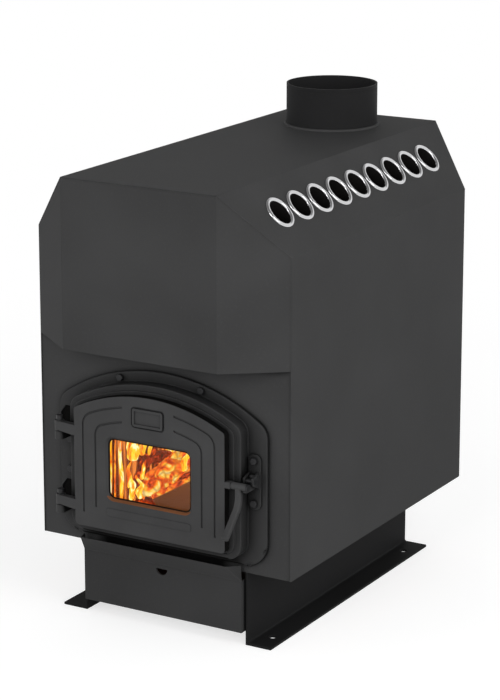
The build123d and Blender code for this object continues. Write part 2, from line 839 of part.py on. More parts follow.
with BuildPart() as door_leaf:
    extrude(leaf_outline(leaf_back_y, 0, leaf_corner), amount=leaf_depth)
    fillet(door_leaf.faces().sort_by(Axis.Y)[0].outer_wire().edges(), leaf_edge_round)
    extrude(
        leaf_outline(leaf_back_y, leaf_rim, leaf_corner - leaf_rim),
        amount=leaf_depth - leaf_web,
        mode=Mode.SUBTRACT,
    )
    extrude(leaf_outline(leaf_web_y, rib_inset), amount=-rope_rib_height)
    extrude(leaf_outline(leaf_web_y, rib_inset + rope_rib), amount=-rope_rib_height, mode=Mode.SUBTRACT)
    with BuildSketch(at_y(leaf_web_y)):
        with Locations(*screw_spots):
            Circle(clip_boss_radius)
    extrude(amount=-(clip_y - leaf_web_y))
    with BuildSketch(at_y(clip_y)):
        with Locations(*screw_spots):
            Circle(clip_screw_radius)
    extrude(amount=clip_y - leaf_web_y, mode=Mode.SUBTRACT)
    with BuildSketch(at_y(leaf_face_y)):
        with Locations((0, window_z)):
            RectangleRounded(window_width, window_height, window_corner)
    extrude(amount=-leaf_web, mode=Mode.SUBTRACT)
    chamfer(door_leaf.faces().sort_by(Axis.Y)[0].inner_wires()[0].edges(), window_bevel)
    add(leaf_grooves.part, mode=Mode.SUBTRACT)
    with BuildSketch(at_y(leaf_face_y)):
        with Locations((0, plaque_middle_z)):
            RectangleRounded(
                plaque_width + 2 * plaque_moat, plaque_height + 2 * plaque_moat, plaque_border + plaque_moat
            )
            RectangleRounded(plaque_width, plaque_height, plaque_border, mode=Mode.SUBTRACT)
    extrude(amount=-groove_depth, mode=Mode.SUBTRACT)
    with BuildSketch(at_y(leaf_face_y)):
        with Locations((0, plaque_middle_z)):
            RectangleRounded(plaque_width, plaque_height, plaque_border)
            Rectangle(
                plaque_width - 2 * plaque_border, plaque_height - 2 * plaque_border, mode=Mode.SUBTRACT
            )
    extrude(amount=plaque_rise)
    with BuildSketch(at_y(leaf_face_y)):
        with Locations((0, strip_middle_z)):
            RectangleRounded(strip_width, strip_height, strip_height / 3)
    extrude(amount=strip_rise)
    for top in hinge_top_z:
        with BuildSketch(at_y(arm_front_y)):
            Polygon(
                (-leaf_half_width + leaf_rim / 2, top - arm_drop - arm_root_height),
                (-leaf_half_width + leaf_rim / 2, top - arm_drop),
                (hinge_x, top - arm_tip_inset),
                (hinge_x, top - knuckle_height + arm_tip_inset),
                align=None,
            )
        extrude(amount=-arm_thickness)
        with BuildSketch(Plane.XY.offset(top - knuckle_height)):
            with Locations((hinge_x, hinge_y)):
                Circle(knuckle_radius)
        extrude(amount=knuckle_height)
        with BuildSketch(Plane.XY.offset(top - knuckle_height)):
            with Locations((hinge_x, hinge_y)):
                Circle(hinge_pin_radius + running_clearance)
        extrude(amount=knuckle_height, mode=Mode.SUBTRACT)
    with BuildSketch(Plane.YZ.offset(leaf_half_width - leaf_rim / 2)):
        with Locations((pivot_y, pivot_z)):
            RectangleRounded(leaf_depth, 2 * ear_half_height, leaf_depth / 4)
    extrude(amount=leaf_rim / 2 + ear_width)
    with BuildSketch(Plane.YZ.offset(leaf_half_width - leaf_rim)):
        with Locations((pivot_y, pivot_z)):
            Circle(pivot_radius)
    extrude(amount=leaf_rim + ear_width, mode=Mode.SUBTRACT)
save(door_leaf, "door_leaf")

with BuildPart() as door_rope:
    rope_depth = collar_face_y - rope_gap - leaf_web_y
    extrude(leaf_outline(leaf_web_y, leaf_rim + rope_side_gap), amount=-rope_depth)
    extrude(leaf_outline(leaf_web_y, rib_inset - rope_side_gap), amount=-rope_depth, mode=Mode.SUBTRACT)
    fillet(door_rope.faces().sort_by(Axis.Y)[-1].edges(), rope_edge_round)
save(door_rope, "door_rope")

with BuildPart() as glass_gasket:
    with BuildSketch(at_y(leaf_web_y)):
        with Locations((0, window_z)):
            Rectangle(glass_width, glass_height)
            Rectangle(window_width + glass_overlap / 2, window_height + glass_overlap / 2, mode=Mode.SUBTRACT)
    extrude(amount=-glass_gasket_thickness)
save(glass_gasket, "glass_gasket")

with BuildPart() as door_glass:
    with BuildSketch(at_y(glass_y)):
        with Locations((0, window_z)):
            RectangleRounded(glass_width, glass_height, glass_thickness)
    extrude(amount=-glass_thickness)
save(door_glass, "door_glass")

with BuildPart() as glass_clips:
    with BuildSketch(at_y(clip_y)):
        with Locations(*clip_spots):
            RectangleRounded(clip_length, clip_width, clip_screw_radius)
        with Locations(*screw_spots):
            Circle(clip_screw_radius, mode=Mode.SUBTRACT)
    extrude(amount=-clip_thickness)
save(glass_clips, "glass_clips")

with BuildPart() as glass_screws:
    clip_back_y = clip_y + clip_thickness
    with BuildSketch(at_y(clip_back_y)):
        with Locations(*screw_spots):
            Circle(clip_screw_head_radius)
    extrude(amount=-clip_screw_head_height)
    with BuildSketch(at_y(clip_back_y)):
        with Locations(*screw_spots):
            Circle(clip_screw_radius)
    extrude(amount=clip_back_y - leaf_web_y)
save(glass_screws, "glass_screws")

# Handle: a hub on a cross pin, a lever that hangs from it and bends forward, and a hook
hub_start_x = ear_end_x + hub_gap
hub_end_x = keeper_x + hook_width / 2
lever_end_x = keeper_x - keeper_cheek_gap / 2
lever_tip_y = pivot_y - lever_tip_reach
hook_start_x = keeper_x - hook_width / 2
hook_back_y = pivot_y + hook_reach
hook_arm_top_z = keeper_pin_z - keeper_pin_radius - hook_under_pin

with BuildPart() as lever:
    with BuildSketch(Plane.YZ.offset(lever_end_x - lever_width)):
        with BuildLine() as lever_line:
            FilletPolyline(
                (pivot_y, pivot_z),
                (pivot_y, pivot_z - lever_drop),
                (lever_tip_y, lever_tip_z),
                radius=lever_bend_radius,
            )
        trace(lever_line.line, lever_thickness)
        with Locations((lever_tip_y, lever_tip_z)):
            Circle(lever_thickness / 2)
    extrude(amount=lever_width)
    fillet(lever.faces().filter_by(Axis.X).edges(), lever_round)

with BuildPart() as door_handle:
    with BuildSketch(Plane.YZ.offset(hub_start_x)):
        with Locations((pivot_y, pivot_z)):
            Circle(hub_radius)
    extrude(amount=hub_end_x - hub_start_x)
    add(lever.part)
    with BuildSketch(Plane.YZ.offset(hook_start_x)):
        Polygon(
            (pivot_y, hook_bottom_z),
            (hook_back_y, hook_bottom_z),
            (hook_back_y, hook_tip_z),
            (hook_back_y - hook_finger, hook_tip_z),
            (hook_back_y - hook_finger, hook_arm_top_z),
            (pivot_y, hook_arm_top_z),
            align=None,
        )
    extrude(amount=hook_width)
    with BuildSketch(Plane.YZ.offset(hub_start_x)):
        with Locations((pivot_y, pivot_z)):
            Circle(pivot_radius + running_clearance)
    extrude(amount=hub_end_x - hub_start_x, mode=Mode.SUBTRACT)
save(door_handle, "door_handle")

with BuildPart() as handle_pivot:
    with BuildSketch(Plane.YZ.offset(leaf_half_width - leaf_rim)):
        with Locations((pivot_y, pivot_z)):
            Circle(pivot_radius)
    extrude(amount=hub_end_x + hub_gap - leaf_half_width + leaf_rim)
    with BuildSketch(Plane.YZ.offset(hub_end_x + hub_gap)):
        with Locations((pivot_y, pivot_z)):
            Circle(pivot_head_radius)
    extrude(amount=pivot_head_height)
save(handle_pivot, "handle_pivot")

# Ash drawer: a flat face flared at the top into a scoop, and the tray behind it
scoop_top_z = drawer_crease_z + scoop_rise
scoop_lift = drawer_sheet * hypot(scoop_reach, scoop_rise) / scoop_reach
scoop_side = drawer_sheet * hypot(scoop_reach, scoop_mitre) / scoop_reach
scoop_front_y = drawer_face_y - scoop_reach
scoop_front_half = drawer_half_width - scoop_mitre

with BuildPart() as scoop_hollow:
    with BuildSketch(Plane.YZ):
        Polygon(
            (drawer_face_y, drawer_crease_z + scoop_lift),
            (scoop_front_y, scoop_top_z + scoop_lift),
            (drawer_face_y, scoop_top_z + scoop_lift),
            align=None,
        )
    extrude(amount=drawer_half_width, both=True)
    with BuildSketch(Plane.XY):
        Polygon(
            (drawer_half_width - scoop_side, drawer_face_y),
            (scoop_side - drawer_half_width, drawer_face_y),
            (scoop_side - scoop_front_half, scoop_front_y),
            (scoop_front_half - scoop_side, scoop_front_y),
            align=None,
        )
    extrude(amount=scoop_top_z + scoop_rise, mode=Mode.INTERSECT)

with BuildSketch(at_y(drawer_face_y)) as finger_hole:
    with Locations((0, finger_hole_top_z)):
        Circle(finger_hole_radius)
    with Locations((0, finger_hole_top_z - finger_hole_radius / 2)):
        Rectangle(2 * finger_hole_radius, finger_hole_radius, mode=Mode.INTERSECT)

with BuildPart() as drawer_front:
    with BuildSketch(Plane.YZ):
        Polygon(
            (drawer_face_y, drawer_crease_z),
            (scoop_front_y, scoop_top_z),
            (drawer_face_y, drawer_crease_z + scoop_cheek_rise),
            align=None,
        )
    extrude(amount=drawer_half_width, both=True)
    with BuildSketch(Plane.XY):
        Polygon(
            (drawer_half_width, drawer_face_y),
            (-drawer_half_width, drawer_face_y),
            (-scoop_front_half, scoop_front_y),
            (scoop_front_half, scoop_front_y),
            align=None,
        )
    extrude(amount=scoop_top_z, mode=Mode.INTERSECT)
    add(scoop_hollow.part, mode=Mode.SUBTRACT)
    face_top_z = drawer_crease_z + scoop_lift
    with BuildSketch(at_y(drawer_face_y)):
        with Locations((0, (drawer_bottom_z + face_top_z) / 2)):
            Rectangle(2 * drawer_half_width, face_top_z - drawer_bottom_z)
    extrude(amount=-drawer_sheet)
    extrude(finger_hole.sketch, amount=-drawer_sheet, mode=Mode.SUBTRACT)
    return_x = drawer_half_width - drawer_sheet / 2
    return_y = drawer_face_y + drawer_sheet + drawer_return / 2
    with BuildSketch(Plane.XY.offset(drawer_bottom_z)):
        with Locations((return_x, return_y), (-return_x, return_y)):
            Rectangle(drawer_sheet, drawer_return)
    extrude(amount=drawer_crease_z - drawer_bottom_z)
save(drawer_front, "drawer_front")

with BuildPart() as ash_tray:
    tray_rear_y = tray_front_y + tray_length
    tray_y = (tray_front_y + tray_rear_y) / 2
    with BuildSketch(Plane.XY.offset(tray_bottom_z)):
        with Locations((0, tray_y)):
            Rectangle(2 * tray_half_width, tray_length)
    extrude(amount=tray_top_z - tray_bottom_z)
    with BuildSketch(Plane.XY.offset(tray_bottom_z + drawer_sheet)):
        with Locations((0, tray_y)):
            Rectangle(2 * (tray_half_width - drawer_sheet), tray_length - 2 * drawer_sheet)
    extrude(amount=tray_top_z - tray_bottom_z, mode=Mode.SUBTRACT)
    extrude(finger_hole.sketch, amount=-2 * drawer_sheet, mode=Mode.SUBTRACT)
save(ash_tray, "ash_tray")

# Runners that carry the tray, hung under the floor plate
ledge_top_z = tray_bottom_z - tray_gap

with BuildPart() as drawer_runner_right:
    with BuildSketch(at_y(front_y + runner_from_front)):
        with Locations((runner_x + drawer_sheet / 2, (ledge_top_z - drawer_sheet + base_height) / 2)):
            Rectangle(drawer_sheet, base_height - ledge_top_z + drawer_sheet)
        with Locations((runner_x - runner_ledge / 2, ledge_top_z - drawer_sheet / 2)):
            Rectangle(runner_ledge, drawer_sheet)
    extrude(amount=-runner_length)
save(drawer_runner_right, "drawer_runner_right")

with BuildPart() as drawer_runner_left:
    mirror(drawer_runner_right.part, about=Plane.YZ)
save(drawer_runner_left, "drawer_runner_left")
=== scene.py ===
import json
import math
import random

import bpy
import bmesh
from mathutils import Matrix, Vector, noise


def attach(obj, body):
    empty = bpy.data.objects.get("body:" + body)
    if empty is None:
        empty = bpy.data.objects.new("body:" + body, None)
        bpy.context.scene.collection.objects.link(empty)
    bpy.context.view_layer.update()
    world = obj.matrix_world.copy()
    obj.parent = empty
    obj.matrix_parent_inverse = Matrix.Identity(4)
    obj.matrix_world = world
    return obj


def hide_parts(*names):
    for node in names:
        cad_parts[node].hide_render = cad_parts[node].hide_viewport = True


# %% [markdown]
# A wood-burning stove. Its steel body, cast door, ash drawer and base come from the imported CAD
# model, which is loaded here as the frame. This script gives each piece its finish, rounds its
# bends and edges, makes the woven rope, the logs and the fire, and lights the whole in a plain
# studio. Sizes are in metres, with the door facing -Y and the floor at Z = 0.

# %% Load the stove
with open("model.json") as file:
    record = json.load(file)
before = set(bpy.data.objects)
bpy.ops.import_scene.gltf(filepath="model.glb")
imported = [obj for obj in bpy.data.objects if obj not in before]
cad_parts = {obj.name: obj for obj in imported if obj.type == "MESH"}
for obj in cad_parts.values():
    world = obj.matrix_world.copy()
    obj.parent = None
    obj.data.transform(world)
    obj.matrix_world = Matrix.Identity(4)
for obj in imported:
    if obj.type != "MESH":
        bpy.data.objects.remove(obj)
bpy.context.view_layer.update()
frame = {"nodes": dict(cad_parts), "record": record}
nodes = frame["nodes"]
record = frame["record"]
body_of_node = {
    node: body for body, names in record["behaviour"]["bodies"].items() for node in names
}
slot_of_node = {part["node"]: part["material_slot"] for part in record["subparts"]}
bpy.ops.object.select_all(action="DESELECT")

# %% [markdown]
# Every finish starts in the same way: one Principled shader, Object coordinates measured in
# metres, and a few noise textures that move its colour, roughness and height a little. Reading
# Object coordinates keeps a pattern fixed to the steel whatever the camera does.


# %% A start for each finish
def new_finish(name, colour, roughness, metallic=0.0, gloss=0.5):
    finish = bpy.data.materials.new(name)
    finish.use_nodes = True
    tree = finish.node_tree
    shader = tree.nodes["Principled BSDF"]
    shader.inputs["Base Color"].default_value = (*colour, 1)
    shader.inputs["Roughness"].default_value = roughness
    shader.inputs["Metallic"].default_value = metallic
    shader.inputs["Specular IOR Level"].default_value = gloss
    place = tree.nodes.new("ShaderNodeTexCoord")
    return finish, tree, shader, place.outputs["Object"]


def grain(tree, place, per_metre, detail=3.0, stretch=(1, 1, 1), wander=0.0):
    mapping = tree.nodes.new("ShaderNodeMapping")
    mapping.inputs["Scale"].default_value = stretch
    tree.links.new(place, mapping.inputs["Vector"])
    texture = tree.nodes.new("ShaderNodeTexNoise")
    texture.inputs["Scale"].default_value = per_metre
    texture.inputs["Detail"].default_value = detail
    texture.inputs["Distortion"].default_value = wander
    tree.links.new(mapping.outputs["Vector"], texture.inputs["Vector"])
    return texture.outputs["Fac"]


def spread(tree, value, low, high, from_low=0.3, from_high=0.7):
    rescale = tree.nodes.new("ShaderNodeMapRange")
    rescale.inputs["From Min"].default_value = from_low
    rescale.inputs["From Max"].default_value = from_high
    rescale.inputs["To Min"].default_value = low
    rescale.inputs["To Max"].default_value = high
    tree.links.new(value, rescale.inputs["Value"])
    return rescale.outputs["Result"]


def between(tree, amount, first, second):
    mix = tree.nodes.new("ShaderNodeMix")
    mix.data_type = "RGBA"
    tree.links.new(amount, mix.inputs["Factor"])
    for socket, colour in ((mix.inputs["A"], first), (mix.inputs["B"], second)):
        if isinstance(colour, tuple):
            socket.default_value = (*colour, 1)
        else:
            tree.links.new(colour, socket)
    return mix.outputs["Result"]


def colour_steps(tree, value, *stops):
    ramp = tree.nodes.new("ShaderNodeValToRGB")
    ramp.color_ramp.elements.remove(ramp.color_ramp.elements[1])
    for step, (at, colour) in enumerate(stops):
        stop = ramp.color_ramp.elements[0] if step == 0 else ramp.color_ramp.elements.new(at)
        stop.position = at
        stop.color = (*colour, 1)
    tree.links.new(value, ramp.inputs["Fac"])
    return ramp.outputs["Color"]


def raise_surface(tree, shader, height, depth, strength=1.0, over=None):
    bump = tree.nodes.new("ShaderNodeBump")
    bump.inputs["Distance"].default_value = depth
    bump.inputs["Strength"].default_value = strength
    tree.links.new(height, bump.inputs["Height"])
    if over is not None:
        tree.links.new(over, bump.inputs["Normal"])
    tree.links.new(bump.outputs["Normal"], shader.inputs["Normal"])
    return bump.outputs["Normal"]


# %% [markdown]
# A few small helpers work out where a point lies and how much painted shade it gets. Shade falls in
# corners, so its helper asks how much open room there is round each point and darkens those that
# have little, as painted shade.


# %% Helpers for place and painted shade
corner_samples = 4


def axes_of(tree, place):
    split = tree.nodes.new("ShaderNodeSeparateXYZ")
    tree.links.new(place, split.inputs["Vector"])
    return split.outputs


def multiplied(tree, first, second):
    times = tree.nodes.new("ShaderNodeMath")
    times.operation = "MULTIPLY"
    tree.links.new(first, times.inputs[0])
    tree.links.new(second, times.inputs[1])
    return times.outputs["Value"]


def tint(colour, times):
    return tuple(channel * times for channel in colour)


# Painted shade: the colour turns towards the shade colour where little open room lies round a
# point.
def painted_corner_shade(tree, colour, soot_and_shade, reach, clean_from=0.92, black_below=0.45):
    corner = tree.nodes.new("ShaderNodeAmbientOcclusion")
    corner.samples = corner_samples
    corner.inputs["Distance"].default_value = reach
    openness = spread(tree, corner.outputs["AO"], 0, 1, black_below, clean_from)
    return between(tree, openness, soot_and_shade, colour)


# %% [markdown]
# Heat-proof paint dries matt with a fine orange peel, so it hardly mirrors anything. Three noises
# make it: a broad one that shifts the grey slightly, as sprayed coats do, small light specks, and
# a very fine one for the tooth of the surface. The front and the drawer also get painted shade in
# their corners, and a painted shadow darkens the strip of the front over the drawer.


# %% Matt graphite paint for sheet steel
paint_gloss = 0.04
tooth_depth = 0.00012
slot_shadow_z = (0.131, 0.137)
slot_shadow_x = (0.104, 0.124)
graphite = (0.0430, 0.0430, 0.0434)


# Painted shadow: a mask for the strip of the front just over the drawer, which is darkened there.
def painted_slot_shadow(tree, place):
    axes = axes_of(tree, place)
    sideways = tree.nodes.new("ShaderNodeMath")
    sideways.operation = "ABSOLUTE"
    tree.links.new(axes["X"], sideways.inputs[0])
    low = spread(tree, axes["Z"], 1, 0, *slot_shadow_z)
    near = spread(tree, sideways.outputs["Value"], 1, 0, *slot_shadow_x)
    return multiplied(tree, low, near)


def matt_paint(name, colour, roughness=0.70, corner_shade_reach=0.0, slot_shadowed=False):
    finish, tree, shader, place = new_finish(name, colour, roughness, gloss=paint_gloss)
    broad = grain(tree, place, per_metre=7.0, detail=2.0)
    tooth = grain(tree, place, per_metre=900.0, detail=2.0)
    specks = grain(tree, place, per_metre=260.0, detail=4.0)
    skin = between(tree, spread(tree, broad, 0, 1), tint(colour, 0.9), tint(colour, 1.1))
    skin = between(tree, spread(tree, specks, 0, 0.25, 0.55, 0.75), skin, tint(colour, 1.5))
    if corner_shade_reach:
        skin = painted_corner_shade(tree, skin, tint(colour, 0.12), corner_shade_reach)
    if slot_shadowed:
        skin = between(tree, painted_slot_shadow(tree, place), skin, tint(colour, 0.10))
    tree.links.new(skin, shader.inputs["Base Color"])
    dullness = spread(tree, broad, roughness - 0.05, roughness + 0.06)
    tree.links.new(dullness, shader.inputs["Roughness"])
    raise_surface(tree, shader, tooth, tooth_depth, strength=0.5)
    return finish


casing_paint = matt_paint("casing_paint", graphite)
front_paint = matt_paint("front_paint", graphite, corner_shade_reach=0.014, slot_shadowed=True)
drawer_paint = matt_paint("drawer_paint", (0.0360, 0.0360, 0.0364), corner_shade_reach=0.006)
# Painted light: the scoop's paint is lighter than the drawer's, on faces that turn downward.
scoop_painted_light = matt_paint("scoop_painted_light", (0.0500, 0.0500, 0.0505))
flue_paint = matt_paint("flue_paint", (0.0145, 0.0145, 0.0149), roughness=0.6)
base_paint = matt_paint("base_paint", (0.0130, 0.0130, 0.0133))
print("paint", casing_paint.name, front_paint.name, drawer_paint.name, scoop_painted_light.name)
print("darker paint", flue_paint.name, base_paint.name)

# %% [markdown]
# The door, its frame, the latch and the grate are castings. Sand leaves a pebbly skin under the
# paint, so their bump is coarser than the sheet's, and a second layer of noise adds shallow waves.


# %% Cast iron under paint
wave_depth = 0.0004


def cast_skin(name, colour, roughness=0.62, pebble=0.00022, corner_shade_reach=0.0, gloss=0.15):
    finish, tree, shader, place = new_finish(name, colour, roughness, gloss=gloss)
    pebbles = grain(tree, place, per_metre=520.0, detail=3.0)
    waves = grain(tree, place, per_metre=60.0, detail=2.0)
    broad = grain(tree, place, per_metre=14.0, detail=3.0)
    skin = between(tree, spread(tree, broad, 0, 1), tint(colour, 0.88), tint(colour, 1.14))
    if corner_shade_reach:
        skin = painted_corner_shade(tree, skin, tint(colour, 0.10), corner_shade_reach)
    tree.links.new(skin, shader.inputs["Base Color"])
    dullness = spread(tree, pebbles, roughness - 0.08, roughness + 0.08)
    tree.links.new(dullness, shader.inputs["Roughness"])
    under = raise_surface(tree, shader, waves, wave_depth, strength=0.3)
    raise_surface(tree, shader, pebbles, pebble, strength=0.6, over=under)
    return finish


# The door and the frame get painted shade in their corners. The frame's darker grey, which the
# latch keeper shares, is painted shade too.
door_iron = cast_skin("door_iron", (0.0398, 0.0398, 0.0404), corner_shade_reach=0.006)
frame_iron = cast_skin("frame_iron", (0.0290, 0.0290, 0.0294), corner_shade_reach=0.028)
# Painted shade: a near-black iron for faces that lie in shadow.
painted_shade_iron = cast_skin("painted_shade_iron", (0.0050, 0.0048, 0.0046), roughness=0.85, gloss=0.03)
# Painted firelight: a brown for the lip under the window, lit by the fire behind the glass.
firelit_lip_iron = cast_skin("firelit_lip_iron", (0.130, 0.048, 0.018), roughness=0.6)
grate_iron = cast_skin("grate_iron", (0.045, 0.038, 0.034), roughness=0.75, pebble=0.0006)
print("castings", door_iron.name, frame_iron.name, grate_iron.name)
print("shade and firelight castings", painted_shade_iron.name, firelit_lip_iron.name)

# %% [markdown]
# Inside, the steel is bare and has been in the fire: brown-black with soot, and lighter where ash
# has dusted it. Where the fire burns against it, up to about a third of the firebox's height, a
# painted firelight makes it glow a dull orange in upright streaks; the noise is stretched along Z
# for that. Higher up, and in the tubes' mouths, it stays black.


# %% Burnt steel
glow_foot = 0.13
glow_full = 0.16
glow_fades = 0.27
glow_gone = 0.42
flake_depth = 0.0004
upright = (1, 1, 0.05)


def firelight_band(tree, place):
    height = axes_of(tree, place)["Z"]
    rising = spread(tree, height, 0, 1, glow_foot, glow_full)
    falling = spread(tree, height, 1, 0, glow_fades, glow_gone)
    return multiplied(tree, rising, falling)


def burnt_steel(name, soot_and_shade, ash, roughness, metallic=0.0, glow=0.0, gloss=0.3):
    finish, tree, shader, place = new_finish(name, soot_and_shade, roughness, metallic, gloss)
    clouds = grain(tree, place, per_metre=18.0, detail=5.0)
    flakes = grain(tree, place, per_metre=320.0, detail=4.0)
    skin = between(tree, spread(tree, clouds, 0, 1, 0.35, 0.75), soot_and_shade, ash)
    tree.links.new(skin, shader.inputs["Base Color"])
    dullness = spread(tree, flakes, roughness - 0.1, roughness + 0.1)
    tree.links.new(dullness, shader.inputs["Roughness"])
    raise_surface(tree, shader, flakes, flake_depth, strength=0.6)
    # Painted firelight: the steel beside the fire gives its own orange light.
    if glow:
        streaks = grain(tree, place, per_metre=160.0, detail=3.0, stretch=upright)
        heat = colour_steps(
            tree,
            streaks,
            (0.36, (0.06, 0.010, 0.002)),
            (0.48, (0.30, 0.055, 0.010)),
            (0.60, (0.85, 0.26, 0.050)),
        )
        tree.links.new(heat, shader.inputs["Emission Color"])
        strength = spread(tree, firelight_band(tree, place), 0, glow, 0, 1)
        tree.links.new(strength, shader.inputs["Emission Strength"])
    return finish


firebox_steel = burnt_steel(
    "firebox_steel", soot_and_shade=(0.050, 0.036, 0.028), ash=(0.11, 0.09, 0.07), roughness=0.8, glow=0.35
)
# The tubes' steel is nearly black: soot outside, and painted shade in their mouths.
tube_steel = burnt_steel(
    "tube_steel",
    soot_and_shade=(0.005, 0.0045, 0.0045),
    ash=(0.011, 0.010, 0.0095),
    roughness=0.8,
    glow=1.0,
    gloss=0.06,
)
tray_steel = burnt_steel(
    "tray_steel", soot_and_shade=(0.022, 0.021, 0.020), ash=(0.060, 0.058, 0.056), roughness=0.6, metallic=0.3
)
bolt_steel = burnt_steel(
    "bolt_steel",
    soot_and_shade=(0.012, 0.012, 0.013),
    ash=(0.024, 0.024, 0.025),
    roughness=0.45,
    metallic=0.1,
)
print("steels", firebox_steel.name, tube_steel.name, tray_steel.name, bolt_steel.name)

# %% [markdown]
# The outlet rings are the only bright metal. Chrome is a smooth mirror, so nearly all of its look
# comes from the studio round it; faint finger marks in the roughness stop it looking computed.

# %% Chrome
chrome_wave_depth = 0.00003
ring_chrome, tree, shader, place = new_finish(
    "ring_chrome", (0.62, 0.62, 0.63), roughness=0.12, metallic=1.0
)
marks = grain(tree, place, per_metre=70.0, detail=4.0)
tree.links.new(spread(tree, marks, 0.08, 0.2), shader.inputs["Roughness"])
chrome_waves = grain(tree, place, per_metre=500.0, detail=2.0)
raise_surface(tree, shader, chrome_waves, chrome_wave_depth, strength=0.3)
print("chrome", ring_chrome.name)

# %% [markdown]
# The door's seal is woven glass rope, and the glass gasket is the same fibre pressed flat. Fine
# fibres run through both, and soot has greyed them unevenly. The cord round the window is the same
# stuff dyed black.

# %% Glass-fibre rope and cord
fibre_depth = 0.0003
twist_depth = 0.0002
seal_rope, tree, shader, place = new_finish(
    "seal_rope", (0.45, 0.43, 0.39), roughness=0.95, gloss=0.1
)
fibres = grain(tree, place, per_metre=900.0, detail=3.0, wander=1.5)
soil = grain(tree, place, per_metre=40.0, detail=4.0)
clean = between(tree, spread(tree, fibres, 0, 1), (0.36, 0.34, 0.30), (0.60, 0.58, 0.53))
soiled = between(tree, spread(tree, soil, 0, 0.75, 0.45, 0.75), clean, (0.11, 0.10, 0.09))
tree.links.new(soiled, shader.inputs["Base Color"])
raise_surface(tree, shader, fibres, fibre_depth, strength=0.8)

cord_black, tree, shader, place = new_finish(
    "cord_black", (0.008, 0.007, 0.006), roughness=0.9, gloss=0.1
)
twist = grain(tree, place, per_metre=700.0, detail=3.0, wander=1.0)
twist_colour = between(
    tree, spread(tree, twist, 0, 1), (0.004, 0.0035, 0.003), (0.016, 0.012, 0.009)
)
tree.links.new(twist_colour, shader.inputs["Base Color"])
raise_surface(tree, shader, twist, twist_depth, strength=0.6)
print("rope", seal_rope.name, "cord", cord_black.name)

# %% [markdown]
# The door glass is clear ceramic glass. The amber comes from the fire behind it, with a slight
# straw tint that such glass takes on, deeper where smoke has left a film.

# %% Door glass
glass_bending = 1.18
amber_glass, tree, shader, place = new_finish(
    "amber_glass", (1.0, 0.93, 0.80), roughness=0.02, gloss=0.07
)
shader.inputs["Transmission Weight"].default_value = 1.0
shader.inputs["IOR"].default_value = glass_bending
smoke = grain(tree, place, per_metre=30.0, detail=4.0)
smoked = between(tree, spread(tree, smoke, 0, 1, 0.5, 0.85), (1.0, 0.94, 0.82), (0.92, 0.78, 0.56))
tree.links.new(smoked, shader.inputs["Base Color"])
tree.links.new(spread(tree, smoke, 0.0, 0.03), shader.inputs["Roughness"])
print("glass", amber_glass.name)

# %% [markdown]
# With the finishes ready, each CAD node gets its own. A node that a finer piece replaces later
# still gets one, so that nothing is ever left bare. The ring at the flue's foot is pressed from
# the casing's sheet and shares its paint.

# %% Finish every CAD node
finish_of_slot = {
    "casing_paint": casing_paint,
    "flue_paint": flue_paint,
    "base_paint": base_paint,
    "firebox_steel": firebox_steel,
    "tube_steel": tube_steel,
    "tray_steel": tray_steel,
    "door_iron": door_iron,
    "grate_iron": grate_iron,
    "ring_chrome": ring_chrome,
    "bolt_steel": bolt_steel,
    "seal_rope": seal_rope,
    "amber_glass": amber_glass,
}
for name, node in nodes.items():
    node.data.materials.clear()
    node.data.materials.append(finish_of_slot[slot_of_node[name]])
nodes["flue_ring"].data.materials[0] = casing_paint
print("finished", len(slot_of_node), "nodes")

# %% [markdown]
# CAD edges are perfectly sharp, and no bent sheet or casting has such an edge: light always
# catches a thin line along it. The edges could be rounded in CAD, but a bevel here costs less and
# follows any change of shape. Each plain-edged node is copied, its loose triangles are merged back
# into whole faces, the edges get a small bevel, and the flat faces keep their flat shading.


# %% Round the edges of a copied node
merge_within = 0.00002
flat_within = math.radians(0.5)
edge_from = math.radians(30)
smooth_under = math.radians(50)


def select_only(*pieces):
    bpy.ops.object.select_all(action="DESELECT")
    for piece in pieces:
        piece.select_set(True)
    bpy.context.view_layer.objects.active = pieces[0]


def placed_piece(name, data):
    piece = bpy.data.objects.new(name, data)
    bpy.context.collection.objects.link(piece)
    return piece


def copied_node(name, new_name):
    piece = placed_piece(new_name, nodes[name].data.copy())
    select_only(piece)
    bpy.ops.object.mode_set(mode="EDIT")
    bpy.ops.mesh.select_all(action="SELECT")
    bpy.ops.mesh.remove_doubles(threshold=merge_within)
    bpy.ops.mesh.dissolve_limited(angle_limit=flat_within)
    bpy.ops.object.mode_set(mode="OBJECT")
    return piece


def apply_all(piece):
    for modifier in list(piece.modifiers):
        bpy.ops.object.modifier_apply(modifier=modifier.name)


def stands_for(piece, node_name):
    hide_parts(node_name)
    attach(piece, body_of_node[node_name])


def rounded(name, width):
    piece = copied_node(name, "dressed_" + name)
    bevel = piece.modifiers.new("round_edges", "BEVEL")
    bevel.width = width
    bevel.segments = 2
    bevel.limit_method = "ANGLE"
    bevel.angle_limit = edge_from
    bevel.use_clamp_overlap = False
    flat = piece.modifiers.new("keep_flats_flat", "WEIGHTED_NORMAL")
    flat.weight = 100
    flat.keep_sharp = True
    bpy.ops.object.shade_smooth_by_angle(angle=smooth_under)
    apply_all(piece)
    stands_for(piece, name)
    return piece


# %% [markdown]
# The table gives each piece the width of its bevel: a press brake leaves about half a millimetre on
# thin sheet and more on thick plate. The cast frame and grate are rounder still, while the cast
# leaf has a small bevel, because its grooves are fine. Four of the pieces then get a finish of
# their own: the front gets painted shade in its corners and a painted shadow over the drawer, the
# drawer front a darker paint with painted shade in its corners, and the frame and the latch keeper
# a darker iron that is painted shade, with more painted shade in their corners.

